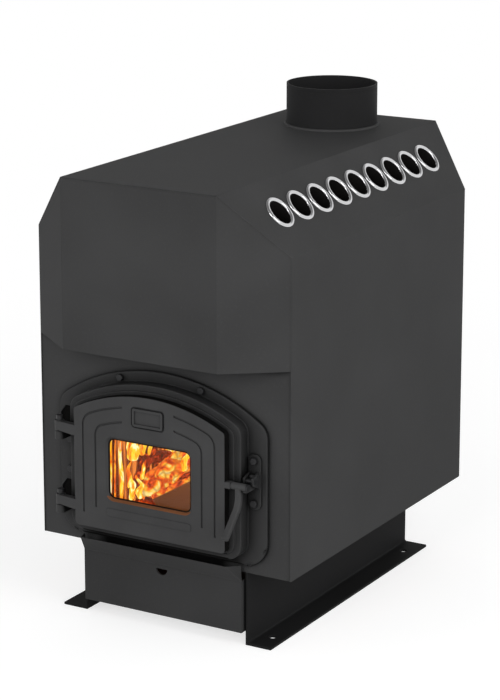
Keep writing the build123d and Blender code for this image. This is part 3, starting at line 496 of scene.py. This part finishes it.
# %% Round the sheets and castings
edge_of_node = {
    "casing_side_right": 0.0006,
    "casing_side_left": 0.0006,
    "casing_top": 0.0006,
    "front_hood": 0.0006,
    "rear_hood": 0.0006,
    "hood_soffit": 0.0005,
    "rear_soffit": 0.0005,
    "front_plate": 0.0008,
    "rear_plate": 0.0008,
    "base_plate_right": 0.0008,
    "base_plate_left": 0.0008,
    "base_tie": 0.0008,
    "door_frame": 0.0012,
    "door_leaf": 0.0004,
    "latch_keeper": 0.0006,
    "frame_bolts": 0.0006,
    "keeper_bolts": 0.0006,
    "drawer_front": 0.0006,
    "ash_tray": 0.0005,
    "grate": 0.0010,
    "smoke_baffle": 0.0008,
    "baffle_bars": 0.0010,
    "drawer_runner_right": 0.0005,
    "drawer_runner_left": 0.0005,
    "glass_gasket": 0.0004,
}
finish_of_dressed = {
    "front_plate": front_paint,
    "door_frame": frame_iron,
    "latch_keeper": frame_iron,
    "drawer_front": drawer_paint,
}
dressed = {}
for name, width in edge_of_node.items():
    dressed[name] = rounded(name, width)
    if name in finish_of_dressed:
        dressed[name].data.materials[0] = finish_of_dressed[name]
print("rounded", len(dressed), "nodes")

# %% [markdown]
# Some faces of a piece get a second finish, picked by their place and by the way they face. The
# leaf's outer edge, the flange over each hinge and the foot of the frame lie in shade, which is
# painted on them in near black. The lip under the window gets a brown painted firelight, the light
# of the fire behind the glass. The drawer's flared scoop turns downward, and a lighter paint there
# is a painted light.


# %% Paint shade and light on chosen faces
leaf_edge_x = 0.1325
leaf_foot_z = 0.158
leaf_arch_z = 0.0965
leaf_arch_edge = 0.2785
hinge_arm_x = 0.136
frame_foot_x = 0.130
hinge_shadow_left_x = -0.184
hinge_shadow_right_x = -0.1525
hinge_shadow_back_y = -0.2635
window_side_x = 0.080
window_lip_foot_z = 0.2
window_lip_top_z = 0.2115
window_lip_y = -0.3045


def second_finish(piece, finish, chosen):
    piece.data.materials.append(finish)
    slot_number = len(piece.data.materials) - 1
    marked = [face for face in piece.data.polygons if chosen(face.center, face.normal)]
    for face in marked:
        face.material_index = slot_number
    return len(marked)


def on_leaf_edge(centre, facing):
    arch = math.hypot(centre.x, centre.z - leaf_arch_z)
    outside = abs(centre.x) > leaf_edge_x or centre.z < leaf_foot_z or arch > leaf_arch_edge
    return outside and abs(facing.y) < 0.6 and abs(centre.x) < hinge_arm_x


def on_frame_foot(centre, facing):
    return centre.z < leaf_foot_z and abs(centre.x) < frame_foot_x


# Painted shadow on the flange over each hinge, beside the leaf's edge.
def in_hinge_shadow(centre, facing):
    over_hinge = hinge_shadow_left_x < centre.x < hinge_shadow_right_x
    return over_hinge and centre.y > hinge_shadow_back_y and facing.y < -0.9


def on_window_lip(centre, facing):
    at_foot = window_lip_foot_z < centre.z < window_lip_top_z
    inside = abs(centre.x) < window_side_x and centre.y > window_lip_y
    return at_foot and inside and facing.z > 0.3


def on_scoop(centre, facing):
    return facing.y < -0.5 and facing.z < -0.15


print("leaf edge", second_finish(dressed["door_leaf"], painted_shade_iron, on_leaf_edge), "faces")
print("window lip", second_finish(dressed["door_leaf"], firelit_lip_iron, on_window_lip), "faces")
print("frame foot", second_finish(dressed["door_frame"], painted_shade_iron, on_frame_foot), "faces")
print("hinge_shadows", second_finish(dressed["door_frame"], painted_shade_iron, in_hinge_shadow), "faces")
print("scoop", second_finish(dressed["drawer_front"], scoop_painted_light, on_scoop), "faces")

# %% [markdown]
# The seal in the leaf's channel is a braid: eight strands wind round an oval core, four each way,
# and pass over and under each other. A twisted texture on a plain ring would look flat at the
# edge, so the strands are real. They follow the channel's middle line: straight sides and foot, an
# arch on top and small round corners. The line is cut into points an even step apart.

# %% Path of the rope
rope_front_y = -0.2975
rope_back_y = -0.2915
rope_middle_y = (rope_front_y + rope_back_y) / 2
rope_half_side = 0.122
rope_foot_z = 0.1685
rope_top_z = 0.3655
rope_arch_radius = 0.269
rope_corner = 0.010
rope_step = 0.0018
arch_parts = 24
corner_parts = 4
corner_share = 2.2


def arched_corners(half_side, foot_z, top_z, arch_radius):
    arch_z = top_z - arch_radius
    spring_z = arch_z + math.sqrt(arch_radius**2 - half_side**2)
    opening = math.asin(half_side / arch_radius)
    corners = [
        Vector((-half_side, foot_z)),
        Vector((half_side, foot_z)),
        Vector((half_side, spring_z)),
    ]
    for part in range(1, arch_parts):
        angle = opening * (1 - 2 * part / arch_parts)
        across, up = arch_radius * math.sin(angle), arch_radius * math.cos(angle)
        corners.append(Vector((across, arch_z + up)))
    corners.append(Vector((-half_side, spring_z)))
    return corners


def round_off(corners, corner):
    cut = []
    neighbours = zip(corners[-1:] + corners[:-1], corners, corners[1:] + corners[:1])
    for before, here, after in neighbours:
        shorter = min((before - here).length / corner_share, (after - here).length / corner_share)
        reach = min(corner, shorter)
        start = here + (before - here).normalized() * reach
        end = here + (after - here).normalized() * reach
        for part in range(corner_parts + 1):
            t = part / corner_parts
            cut.append(start * (1 - t) ** 2 + here * 2 * t * (1 - t) + end * t**2)
    return cut


def even_points(line, step):
    lengths = [(b - a).length for a, b in zip(line, line[1:] + line[:1])]
    whole = sum(lengths)
    count = round(whole / step)
    points, travelled, piece = [], 0.0, 0
    for n in range(count):
        target = whole * n / count
        while travelled + lengths[piece] < target:
            travelled += lengths[piece]
            piece += 1
        along = (target - travelled) / lengths[piece]
        points.append(line[piece].lerp(line[(piece + 1) % len(line)], along))
    return points, whole


rope_corners = arched_corners(rope_half_side, rope_foot_z, rope_top_z, rope_arch_radius)
rope_path, rope_length = even_points(round_off(rope_corners, rope_corner), rope_step)
print("rope", round(rope_length, 3), "m,", len(rope_path), "points")

# %% [markdown]
# A strand is a curve with a round bevel, made a mesh. Its points go round the core once every
# `rope_turn`, and its distance from the core rises and falls four times in each turn, once for
# each strand that winds the other way.

# %% Braid the rope
strand_count = 8
strand_radius = 0.0011
strands_each_way = strand_count // 2
core_half_width = 0.0042
core_half_depth = 0.0019
sunk_sideways = 0.0001
sunk_deep = 0.0003
weave_height = 0.0003
rope_turn = 0.024


def ring_curve(name, points, radius):
    curve = bpy.data.curves.new(name, "CURVE")
    curve.dimensions = "3D"
    curve.bevel_depth = radius
    curve.bevel_resolution = 1
    curve.use_fill_caps = False
    line = curve.splines.new("POLY")
    line.points.add(len(points) - 1)
    for point, place in zip(line.points, points):
        point.co = (*place, 1)
    line.use_cyclic_u = True
    return placed_piece(name, curve)


def sideways_at(path, n):
    forward = (path[(n + 1) % len(path)] - path[n - 1]).normalized()
    return Vector((forward.y, -forward.x))


def around_path(path, middle_y, angle_at, lift_at, half_width, half_depth):
    placed = []
    count = len(path)
    for n, here in enumerate(path):
        side = sideways_at(path, n)
        angle, lift = angle_at(n / count), lift_at(n / count)
        out = math.cos(angle) * (half_width + lift)
        deep = math.sin(angle) * (half_depth + lift)
        placed.append((here.x + side.x * out, middle_y + deep, here.y + side.y * out))
    return placed


turns = round(rope_length / rope_turn)
braid = []
for strand in range(strand_count):
    way = 1 if strand % 2 == 0 else -1
    start = math.tau * strand / strand_count
    crossings = strands_each_way
    points = around_path(
        rope_path,
        rope_middle_y,
        lambda t: way * math.tau * turns * t + start,
        lambda t: weave_height
        * math.sin(way * math.tau * turns * crossings * t + crossings * start),
        core_half_width - sunk_sideways,
        core_half_depth - sunk_deep,
    )
    braid.append(ring_curve("strand", points, strand_radius))
select_only(*braid)
bpy.ops.object.convert(target="MESH")
bpy.ops.object.join()
door_seal = bpy.context.object
door_seal.name = "door_seal"
print("braid", len(door_seal.data.polygons), "faces")

# %% [markdown]
# The core is an oval tube along the same path, built ring by ring. It closes the gaps between the
# strands, and joining it to them makes the seal one piece, which takes the place of the CAD rope.


# %% Core of the rope
def oval_ring(name, path, middle_y, half_width, half_depth, sides=12):
    shell = bmesh.new()
    rings = []
    for n, here in enumerate(path):
        side = sideways_at(path, n)
        ring = []
        for k in range(sides):
            angle = math.tau * k / sides
            out, deep = math.cos(angle) * half_width, math.sin(angle) * half_depth
            spot = (here.x + side.x * out, middle_y + deep, here.y + side.y * out)
            ring.append(shell.verts.new(spot))
        rings.append(ring)
    for first, second in zip(rings, rings[1:] + rings[:1]):
        for k in range(sides):
            after = (k + 1) % sides
            shell.faces.new((first[k], first[after], second[after], second[k]))
    bmesh.ops.recalc_face_normals(shell, faces=shell.faces)
    mesh = bpy.data.meshes.new(name)
    shell.to_mesh(mesh)
    shell.free()
    return placed_piece(name, mesh)


core = oval_ring("rope_core", rope_path[::2], rope_middle_y, core_half_width, core_half_depth)
select_only(door_seal, core)
bpy.ops.object.join()
bpy.ops.object.shade_smooth()
door_seal.data.materials.clear()
door_seal.data.materials.append(seal_rope)
stands_for(door_seal, "door_rope")
print("seal", [round(v, 4) for v in door_seal.dimensions])

# %% [markdown]
# A thin black cord also seals the glass, at the foot of the opening's bevel. It is a curve with a
# round bevel that follows the opening, and it draws the dark line beside and under the fire.

# %% Seal the glass
cord_radius = 0.0011
cord_inset = cord_radius * 0.9
cord_y = -0.2984
opening_half_width = 0.0735
opening_foot_z = 0.2085
opening_top_z = 0.304
opening_corner = 0.011


def round_cornered(half_width, foot, top, corner, parts=6):
    points = []
    middles = (
        (half_width - corner, top - corner, 0),
        (corner - half_width, top - corner, 90),
        (corner - half_width, foot + corner, 180),
        (half_width - corner, foot + corner, 270),
    )
    for x, z, start in middles:
        for part in range(parts + 1):
            angle = math.radians(start + 90 * part / parts)
            points.append((x + corner * math.cos(angle), cord_y, z + corner * math.sin(angle)))
    return points


cord_points = round_cornered(
    opening_half_width - cord_inset,
    opening_foot_z + cord_inset,
    opening_top_z - cord_inset,
    opening_corner - cord_inset,
)
glass_cord = ring_curve("glass_cord", cord_points, cord_radius)
select_only(glass_cord)
bpy.ops.object.convert(target="MESH")
bpy.ops.object.shade_smooth()
glass_cord.data.materials.clear()
glass_cord.data.materials.append(cord_black)
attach(glass_cord, body_of_node["door_leaf"])
print("glass cord", len(glass_cord.data.polygons), "faces")

# %% [markdown]
# The fire is the brightest thing in the picture. Burning wood has three looks: char that glows in
# its cracks, embers, and flames. All three give their own light, so each finish has an emission
# colour that a noise moves from deep red to yellow.


# %% Glowing char and embers
cracks_per_grain = 1.6
char_depth = 0.004
crack_red = (0.30, 0.022, 0.003)
heat_colours = (
    (0.0, (0.055, 0.010, 0.003)),
    (0.07, (0.40, 0.030, 0.004)),
    (0.14, (0.90, 0.11, 0.012)),
    (0.22, (1.0, 0.26, 0.020)),
    (0.29, (1.0, 0.58, 0.050)),
    (0.36, (1.0, 0.85, 0.35)),
)


def glowing(name, char, per_metre, dark_until, strength):
    finish, tree, shader, place = new_finish(name, char, 0.9, gloss=0.2)
    cells = tree.nodes.new("ShaderNodeTexVoronoi")
    cells.feature = "DISTANCE_TO_EDGE"
    cells.inputs["Scale"].default_value = per_metre * cracks_per_grain
    tree.links.new(place, cells.inputs["Vector"])
    heat = grain(tree, place, per_metre, detail=5.0, wander=1.6)
    glow = colour_steps(tree, heat, *((dark_until + rise, colour) for rise, colour in heat_colours))
    from_crack = spread(tree, cells.outputs["Distance"], 0.45, 1, 0.0, 0.18)
    cracked = between(tree, from_crack, crack_red, glow)
    tree.links.new(cracked, shader.inputs["Emission Color"])
    shader.inputs["Emission Strength"].default_value = strength
    raise_surface(tree, shader, heat, char_depth, strength=0.9)
    return finish


ember_glow = glowing("ember_glow", (0.03, 0.02, 0.016), 70.0, dark_until=0.40, strength=1.0)
log_glow = glowing("log_glow", (0.04, 0.02, 0.012), 42.0, dark_until=0.29, strength=1.0)
char_bark = glowing("char_bark", (0.030, 0.016, 0.010), 60.0, dark_until=0.50, strength=0.9)
print("glow", ember_glow.name, log_glow.name, char_bark.name)

# %% [markdown]
# A split billet shows its flat sawn face: brown wood that has not caught yet, with fine grain along
# its length, and only its edge alight. A Mapping node turns the grain to the billet's slope.

# %% Sawn wood of the billet
billet_slope = math.radians(31)
along_grain = (0.06, 1, 1)
firelight_on_wood = 0.38
years_depth = 0.0006
billet_wood, tree, shader, place = new_finish(
    "billet_wood", (0.17, 0.06, 0.022), roughness=0.85, gloss=0.2
)
turned = tree.nodes.new("ShaderNodeMapping")
turned.inputs["Rotation"].default_value = (0, billet_slope, 0)
tree.links.new(place, turned.inputs["Vector"])
years = grain(tree, turned.outputs["Vector"], per_metre=260.0, detail=3.0, stretch=along_grain)
wood = between(tree, spread(tree, years, 0, 1), (0.155, 0.052, 0.018), (0.21, 0.072, 0.025))
tree.links.new(wood, shader.inputs["Base Color"])
tree.links.new(wood, shader.inputs["Emission Color"])
shader.inputs["Emission Strength"].default_value = firelight_on_wood
raise_surface(tree, shader, years, years_depth, strength=0.6)
print("wood", billet_wood.name)

# %% [markdown]
# A flame is nothing but light. Its finish has a black base and gives all its colour itself: a noise
# drawn out upwards moves it from red through orange to a near white, and makes the darkest parts
# partly clear, which breaks the flame into licks.

# %% Flame
lick_stretch = (1, 1, 0.30)
flame_strength = 1.15
flame_light, tree, shader, place = new_finish("flame_light", (0.0, 0.0, 0.0), 1.0, gloss=0.0)
licks = grain(tree, place, per_metre=120.0, detail=2.0, stretch=lick_stretch, wander=0.8)
flame_colour = colour_steps(
    tree,
    licks,
    (0.32, (0.70, 0.07, 0.008)),
    (0.42, (0.95, 0.18, 0.014)),
    (0.50, (1.0, 0.42, 0.020)),
    (0.57, (1.0, 0.70, 0.04)),
    (0.64, (1.0, 0.95, 0.60)),
)
tree.links.new(flame_colour, shader.inputs["Emission Color"])
shader.inputs["Emission Strength"].default_value = flame_strength
tree.links.new(spread(tree, licks, 0.35, 1.0, 0.30, 0.46), shader.inputs["Alpha"])
print("flame", flame_light.name)

# %% [markdown]
# Each log starts as a cylinder at its size and place, which are applied at once, so that the mesh
# holds them. Cuts across it every few millimetres give the bark something to bulge with, and two
# Displace modifiers push it out of round: a broad one for the wood, a fine one for the bark. Each
# line that cuts a log gives its start, end and radius in millimetres.


# %% Cut a log
mm_in_metre = 1000
log_sides = 36
log_slice = 0.004
fewest_slices = 6
log_smooth_under = math.radians(60)


def bark_texture(name, size):
    texture = bpy.data.textures.new(name, "CLOUDS")
    texture.noise_scale = size
    texture.noise_depth = 3
    return texture


broad_bulge = bark_texture("broad_bulge", 0.030)
fine_bark = bark_texture("fine_bark", 0.007)


def finish_piece(piece, finish, body="stove"):
    piece.data.materials.clear()
    piece.data.materials.append(finish)
    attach(piece, body)


def roughen(piece, bulge, bark):
    for texture, depth in ((broad_bulge, bulge), (fine_bark, bark)):
        push = piece.modifiers.new(texture.name, "DISPLACE")
        push.texture = texture
        push.texture_coords = "LOCAL"
        push.strength = depth
        push.mid_level = 0.5
    apply_all(piece)


def log(name, start, end, radius, finish, bulge=0.008, bark=0.004):
    start, end = Vector(start) / mm_in_metre, Vector(end) / mm_in_metre
    along = end - start
    bpy.ops.object.select_all(action="DESELECT")
    bpy.ops.mesh.primitive_cylinder_add(
        vertices=log_sides,
        radius=radius / mm_in_metre,
        depth=along.length,
        end_fill_type="TRIFAN",
        location=(start + end) / 2,
        rotation=along.to_track_quat("Z", "Y").to_euler(),
    )
    piece = bpy.context.object
    piece.name = name
    bpy.ops.object.transform_apply(location=True, rotation=True, scale=True)
    bpy.ops.object.mode_set(mode="EDIT")
    slices = max(fewest_slices, round(along.length / log_slice))
    for n in range(1, slices):
        bpy.ops.mesh.select_all(action="SELECT")
        bpy.ops.mesh.bisect(plane_co=start + along * n / slices, plane_no=along.normalized())
    bpy.ops.object.mode_set(mode="OBJECT")
    roughen(piece, bulge, bark)
    bpy.ops.object.shade_smooth_by_angle(angle=log_smooth_under)
    finish_piece(piece, finish)


log("log_ember", (-84, -193, 184), (0, -140, 262), 19, log_glow)
log("log_leaning", (-92, -205, 186), (-46, -210, 280), 8, char_bark, 0.004, 0.002)
log("log_under", (-66, -205, 158), (-62, 70, 162), 25, char_bark)
log("log_behind", (62, -150, 165), (-30, 60, 190), 27, char_bark)
log("log_stub", (-84, -190, 243), (-68, -120, 222), 11, char_bark, 0.004, 0.002)
print("logs cut")

# %% [markdown]
# The billet in front is a split quarter: a block whose corners are broken and whose faces wander.
# Its upper edge, nearest the flames, is alight, and gets the glowing finish.

# %% Split the billet
billet_middle = Vector((0.0287, -0.234, 0.2020))
billet_size = (0.098, 0.034, 0.066)
billet_corner = 0.003
billet_cuts = 14
billet_burnt_from = 0.0265
bpy.ops.object.select_all(action="DESELECT")
bpy.ops.mesh.primitive_cube_add(size=1, location=billet_middle, rotation=(0, -billet_slope, 0))
billet = bpy.context.object
billet.name = "billet"
billet.scale = billet_size
bpy.ops.object.transform_apply(location=True, rotation=True, scale=True)
bpy.ops.object.mode_set(mode="EDIT")
bpy.ops.mesh.select_all(action="SELECT")
bpy.ops.mesh.bevel(offset=billet_corner, segments=2)
bpy.ops.mesh.select_all(action="SELECT")
bpy.ops.mesh.subdivide(number_cuts=billet_cuts)
bpy.ops.object.mode_set(mode="OBJECT")
roughen(billet, 0.003, 0.0012)
bpy.ops.object.shade_smooth_by_angle(angle=log_smooth_under)
finish_piece(billet, billet_wood)
billet.data.materials.append(log_glow)
up_slope = Vector((-math.sin(billet_slope), 0, math.cos(billet_slope)))
for face in billet.data.polygons:
    if (face.center - billet_middle).dot(up_slope) > billet_burnt_from:
        face.material_index = 1
print("billet", len(billet.data.polygons), "faces")

# %% [markdown]
# Under the logs lies the bed of embers, a low mound on the grate. It starts as a sphere squashed
# to the mound's size and is cut off level with the grate.

# %% Heap the embers
heap_middle = Vector((0.0, -0.128, 0.120))
heap_reach = (0.092, 0.122, 0.062)
heap_cut_z = 0.1315
heap_foot_z = 0.1285
bpy.ops.object.select_all(action="DESELECT")
bpy.ops.mesh.primitive_uv_sphere_add(segments=72, ring_count=40, radius=1, location=heap_middle)
ember_heap = bpy.context.object
ember_heap.name = "ember_heap"
ember_heap.scale = heap_reach
bpy.ops.object.transform_apply(location=True, rotation=True, scale=True)
bpy.ops.object.mode_set(mode="EDIT")
bpy.ops.mesh.select_all(action="SELECT")
bpy.ops.mesh.bisect(
    plane_co=(0, 0, heap_cut_z), plane_no=(0, 0, 1), clear_inner=True, use_fill=True
)
bpy.ops.object.mode_set(mode="OBJECT")
roughen(ember_heap, 0.010, 0.006)
for vertex in ember_heap.data.vertices:
    vertex.co.z = max(vertex.co.z, heap_foot_z)
bpy.ops.object.shade_smooth()
finish_piece(ember_heap, ember_glow)
print("heap", [round(v, 3) for v in ember_heap.dimensions])

# %% [markdown]
# Loose lumps lie on the heap. One lump is modelled, and each copy gets a turn and a size of its own
# from a seeded random source, so the heap comes out the same each time.

# %% Scatter lumps on the heap
lump_count = 70
lump_radius = 0.009
lump_shape = (1.35, 0.9, 0.75)
lumps_reach = (0.086, 0.112, 0.064)
lumps_rim = 0.93
lump_least_z = 0.137
dice = random.Random(7)
bpy.ops.object.select_all(action="DESELECT")
bpy.ops.mesh.primitive_ico_sphere_add(subdivisions=2, radius=lump_radius, location=(0, 0, 0))
lump = bpy.context.object
bpy.ops.object.mode_set(mode="EDIT")
bpy.ops.mesh.select_all(action="SELECT")
bpy.ops.transform.resize(value=lump_shape)
bpy.ops.object.mode_set(mode="OBJECT")
roughen(lump, 0.006, 0.003)
lumps = []
for n in range(lump_count):
    angle, reach = dice.uniform(0, math.tau), math.sqrt(dice.random()) * lumps_rim
    across, along = math.cos(angle) * reach, math.sin(angle) * reach
    height = math.sqrt(max(0.0, 1 - across**2 - along**2))
    on_heap = (lumps_reach[0] * across, lumps_reach[1] * along, lumps_reach[2] * height)
    spot = heap_middle + Vector(on_heap)
    spot.z = max(spot.z, lump_least_z)
    copy = placed_piece("lump", lump.data.copy())
    turn = Matrix.Rotation(dice.uniform(0, math.tau), 4, "Z")
    tilt = Matrix.Rotation(dice.uniform(-0.5, 0.5), 4, "X")
    size = Matrix.Scale(dice.uniform(0.55, 1.05), 4)
    copy.data.transform(Matrix.Translation(spot) @ (turn @ tilt) @ size)
    lumps.append(copy)
bpy.data.objects.remove(lump)
select_only(*lumps)
bpy.ops.object.join()
ember_lumps = bpy.context.object
ember_lumps.name = "ember_lumps"
finish_piece(ember_lumps, ember_glow)
print("lumps", len(ember_lumps.data.polygons), "faces")

# %% [markdown]
# The flames are closed tongues. A sphere is drawn out to the flame's height, narrowed towards its
# tip and made to sway, more the higher it is, as hot gas does. Each row of the table gives a
# tongue's foot, height, width and lean in millimetres, then how much it sways and the number that
# makes it differ from the others. All of them are joined in one piece.


# %% Light the flames
tongue_sides = 24
tongue_rings = 30
foot_width = 0.35
belly_width = 1.3
taper_to_tip = 0.75
widest = 1.15
blunt_ends = 2.2
flame_flatness = 0.55
flutter_depth = 0.30
flutter_across, flutter_up = 1.5, 3
sway_up_x, sway_up_y = 2.6, 2.2
lean_curve = 1.4


def tongue(foot, height, width, lean, sway, seed):
    foot, height, width = Vector(foot) / mm_in_metre, height / mm_in_metre, width / mm_in_metre
    bpy.ops.object.select_all(action="DESELECT")
    bpy.ops.mesh.primitive_uv_sphere_add(
        segments=tongue_sides, ring_count=tongue_rings, radius=1, location=(0, 0, 0)
    )
    flame = bpy.context.object
    for vertex in flame.data.vertices:
        rise = (vertex.co.z + 1) / 2
        slim = (1 - rise) ** taper_to_tip * (foot_width + belly_width * rise**0.5) * widest
        ring = max(1e-6, math.sqrt(max(0.0, 1 - vertex.co.z**2)))
        away = Vector((vertex.co.x, vertex.co.y)) / ring
        around = away * flutter_across
        ripple = noise.noise(Vector((around.x, around.y, rise * flutter_up + seed)))
        flutter = 1 + flutter_depth * ripple
        reach = width / 2 * slim * flutter * min(1, ring * blunt_ends)
        swing = width * sway * rise
        sway_x = swing * 2 * noise.noise(Vector((seed * 3.1, 0, rise * sway_up_x)))
        sway_y = swing * noise.noise(Vector((0, seed * 2.7, rise * sway_up_y)))
        drift_x = sway_x + lean[0] / mm_in_metre * rise**lean_curve
        drift_y = sway_y + lean[1] / mm_in_metre * rise**lean_curve
        across, deep = away.x * reach + drift_x, away.y * reach * flame_flatness + drift_y
        vertex.co = foot + Vector((across, deep, height * rise))
    return flame


tongues = [
    tongue((-108, -244, 180), 118, 4.5, (2, 2), 0.5, 1),
    tongue((-99, -244, 178), 122, 3, (2, 2), 0.6, 2),
    tongue((-90, -240, 182), 122, 8, (3, 4), 0.7, 3),
    tongue((-78, -228, 246), 62, 24, (4, 4), 0.5, 4),
    tongue((-62, -224, 256), 54, 15, (6, 4), 0.6, 5),
    tongue((-50, -222, 258), 36, 7, (11, 2), 0.3, 6),
    tongue((2, -206, 236), 50, 12, (16, 6), 0.6, 7),
    tongue((-86, -226, 200), 48, 9, (5, 2), 0.8, 8),
    tongue((-64, -222, 216), 34, 8, (6, 2), 0.6, 9),
    tongue((-82, -226, 180), 42, 11, (6, 2), 0.8, 10),
    tongue((-68, -222, 184), 38, 12, (-4, 2), 0.8, 11),
    tongue((-70, -120, 190), 150, 40, (10, 10), 0.6, 12),
    tongue((-20, -80, 190), 180, 55, (10, 10), 0.5, 13),
    tongue((45, -60, 180), 190, 60, (-10, 0), 0.5, 14),
]
select_only(*tongues)
bpy.ops.object.join()
flames = bpy.context.object
flames.name = "flames"
bpy.ops.object.shade_smooth()
finish_piece(flames, flame_light)
print("flames", len(flames.data.polygons), "faces")

# %% [markdown]
# The studio floor is one seamless pale sheet. What the camera, mirrors and glass see of it takes
# the stove's soft shadow nearby and turns to pure white further off, where all its brightness is
# light of its own. All other rays meet plain grey, so the floor throws only a little light up at
# the stove.

# %% Floor
floor_size = 40
pale_from = 0.7
white_from = 2.0
floor_light_near = 0.66
floor_light_far = 1.0
near_grey = ((0.49, 0.49, 0.49), (0.51, 0.51, 0.51))
plain_grey = (0.50, 0.50, 0.50)
black = (0.0, 0.0, 0.0)
bpy.ops.object.select_all(action="DESELECT")
bpy.ops.mesh.primitive_plane_add(size=floor_size, location=(0, 0, 0))
studio_floor = bpy.context.object
studio_floor.name = "studio_floor"


def seen_straight(tree):
    rays = tree.nodes.new("ShaderNodeLightPath")
    seen = rays.outputs["Is Camera Ray"]
    for other in ("Is Glossy Ray", "Is Transmission Ray"):
        either = tree.nodes.new("ShaderNodeMath")
        either.operation = "MAXIMUM"
        tree.links.new(seen, either.inputs[0])
        tree.links.new(rays.outputs[other], either.inputs[1])
        seen = either.outputs["Value"]
    return seen


floor_finish, tree, shader, place = new_finish("floor_finish", (0.78, 0.78, 0.78), 0.9, gloss=0.0)
floor_seen = seen_straight(tree)
away = tree.nodes.new("ShaderNodeVectorMath")
away.operation = "LENGTH"
tree.links.new(place, away.inputs[0])
distance = away.outputs["Value"]
near_colour = between(tree, spread(tree, grain(tree, place, per_metre=3.0), 0, 1), *near_grey)
how_far = spread(tree, distance, 0, 1, pale_from, white_from)
floor_colour = between(tree, how_far, near_colour, black)
tree.links.new(between(tree, floor_seen, plain_grey, floor_colour), shader.inputs["Base Color"])
own_light = spread(tree, distance, floor_light_near, floor_light_far, pale_from, white_from)
tree.links.new(multiplied(tree, floor_seen, own_light), shader.inputs["Emission Strength"])
shader.inputs["Emission Color"].default_value = (1, 1, 1, 1)
studio_floor.data.materials.append(floor_finish)
print("floor", studio_floor.dimensions[0], "m")

# %% [markdown]
# The room gives most of the light from a bright band low down, all round the stove. Upright faces
# get it fully and the top plate hardly, which keeps the greys even; light from above would leave
# the top far paler than the front. Mirrors see another room, white below and grey above, because
# chrome needs that contrast to look like metal.

# %% Room
light_strength = 2.5
seen_strength = 1.0
light_bands = ((0.30, 1.0), (0.45, 0.15), (1.0, 0.08))
seen_bands = ((0.50, 1.0), (0.66, 0.34), (1.0, 0.22))
room = bpy.data.worlds.new("studio")
bpy.context.scene.world = room
room.use_nodes = True
tree = room.node_tree
background = tree.nodes["Background"]
aim = tree.nodes.new("ShaderNodeTexCoord")
up = axes_of(tree, aim.outputs["Generated"])["Z"]
light_given = colour_steps(tree, up, *((at, (grey,) * 3) for at, grey in light_bands))
room_seen = colour_steps(tree, up, *((at, (grey,) * 3) for at, grey in seen_bands))
straight = seen_straight(tree)
tree.links.new(between(tree, straight, light_given, room_seen), background.inputs["Color"])
brightness = spread(tree, straight, light_strength, seen_strength, 0.0, 1.0)
tree.links.new(brightness, background.inputs["Strength"])
print("room", room.name)

# %% [markdown]
# Two large soft lamps shape what the room leaves flat: one high at the right for the slanted
# shoulder and the rings, and one in front, which shades the door's mouldings and the hood's edge.


# %% Lamps
def soft_lamp(name, place, aim, size, power):
    bpy.ops.object.light_add(type="AREA", location=place)
    lamp = bpy.context.object
    lamp.name = name
    lamp.data.size = size
    lamp.data.energy = power
    lamp.rotation_euler = (Vector(aim) - Vector(place)).to_track_quat("-Z", "Y").to_euler()


soft_lamp("lamp_right", place=(2.5, -0.9, 1.9), aim=(0, 0, 0.4), size=1.5, power=24)
soft_lamp("lamp_front", place=(0.2, -2.8, 1.7), aim=(0, 0, 0.35), size=1.1, power=15)
print("lamps placed")

# %% [markdown]
# The camera stands where the photographer's did: to the right of the door, slightly above the
# stove, and far enough away for a long lens. Its shift only puts the stove where the photograph
# has it in the frame.

# %% Camera
camera_place = (1.9057, -3.2454, 1.4228)
camera_yaw = math.radians(30.4298)
camera_pitch = math.radians(13.1463)
camera_lens = 125.865
camera_film = 36
picture_height = 700
picture_drop = 100
bpy.ops.object.camera_add(location=camera_place)
camera = bpy.context.object
camera.name = "camera"
camera.rotation_euler = (math.pi / 2 - camera_pitch, 0, camera_yaw)
camera.data.sensor_fit = "VERTICAL"
camera.data.sensor_height = camera_film
camera.data.sensor_width = camera_film
camera.data.lens = camera_lens
camera.data.shift_y = -picture_drop / picture_height
bpy.context.scene.camera = camera
bpy.context.scene.view_settings.view_transform = "Standard"
print("camera", camera.data.lens, "mm")
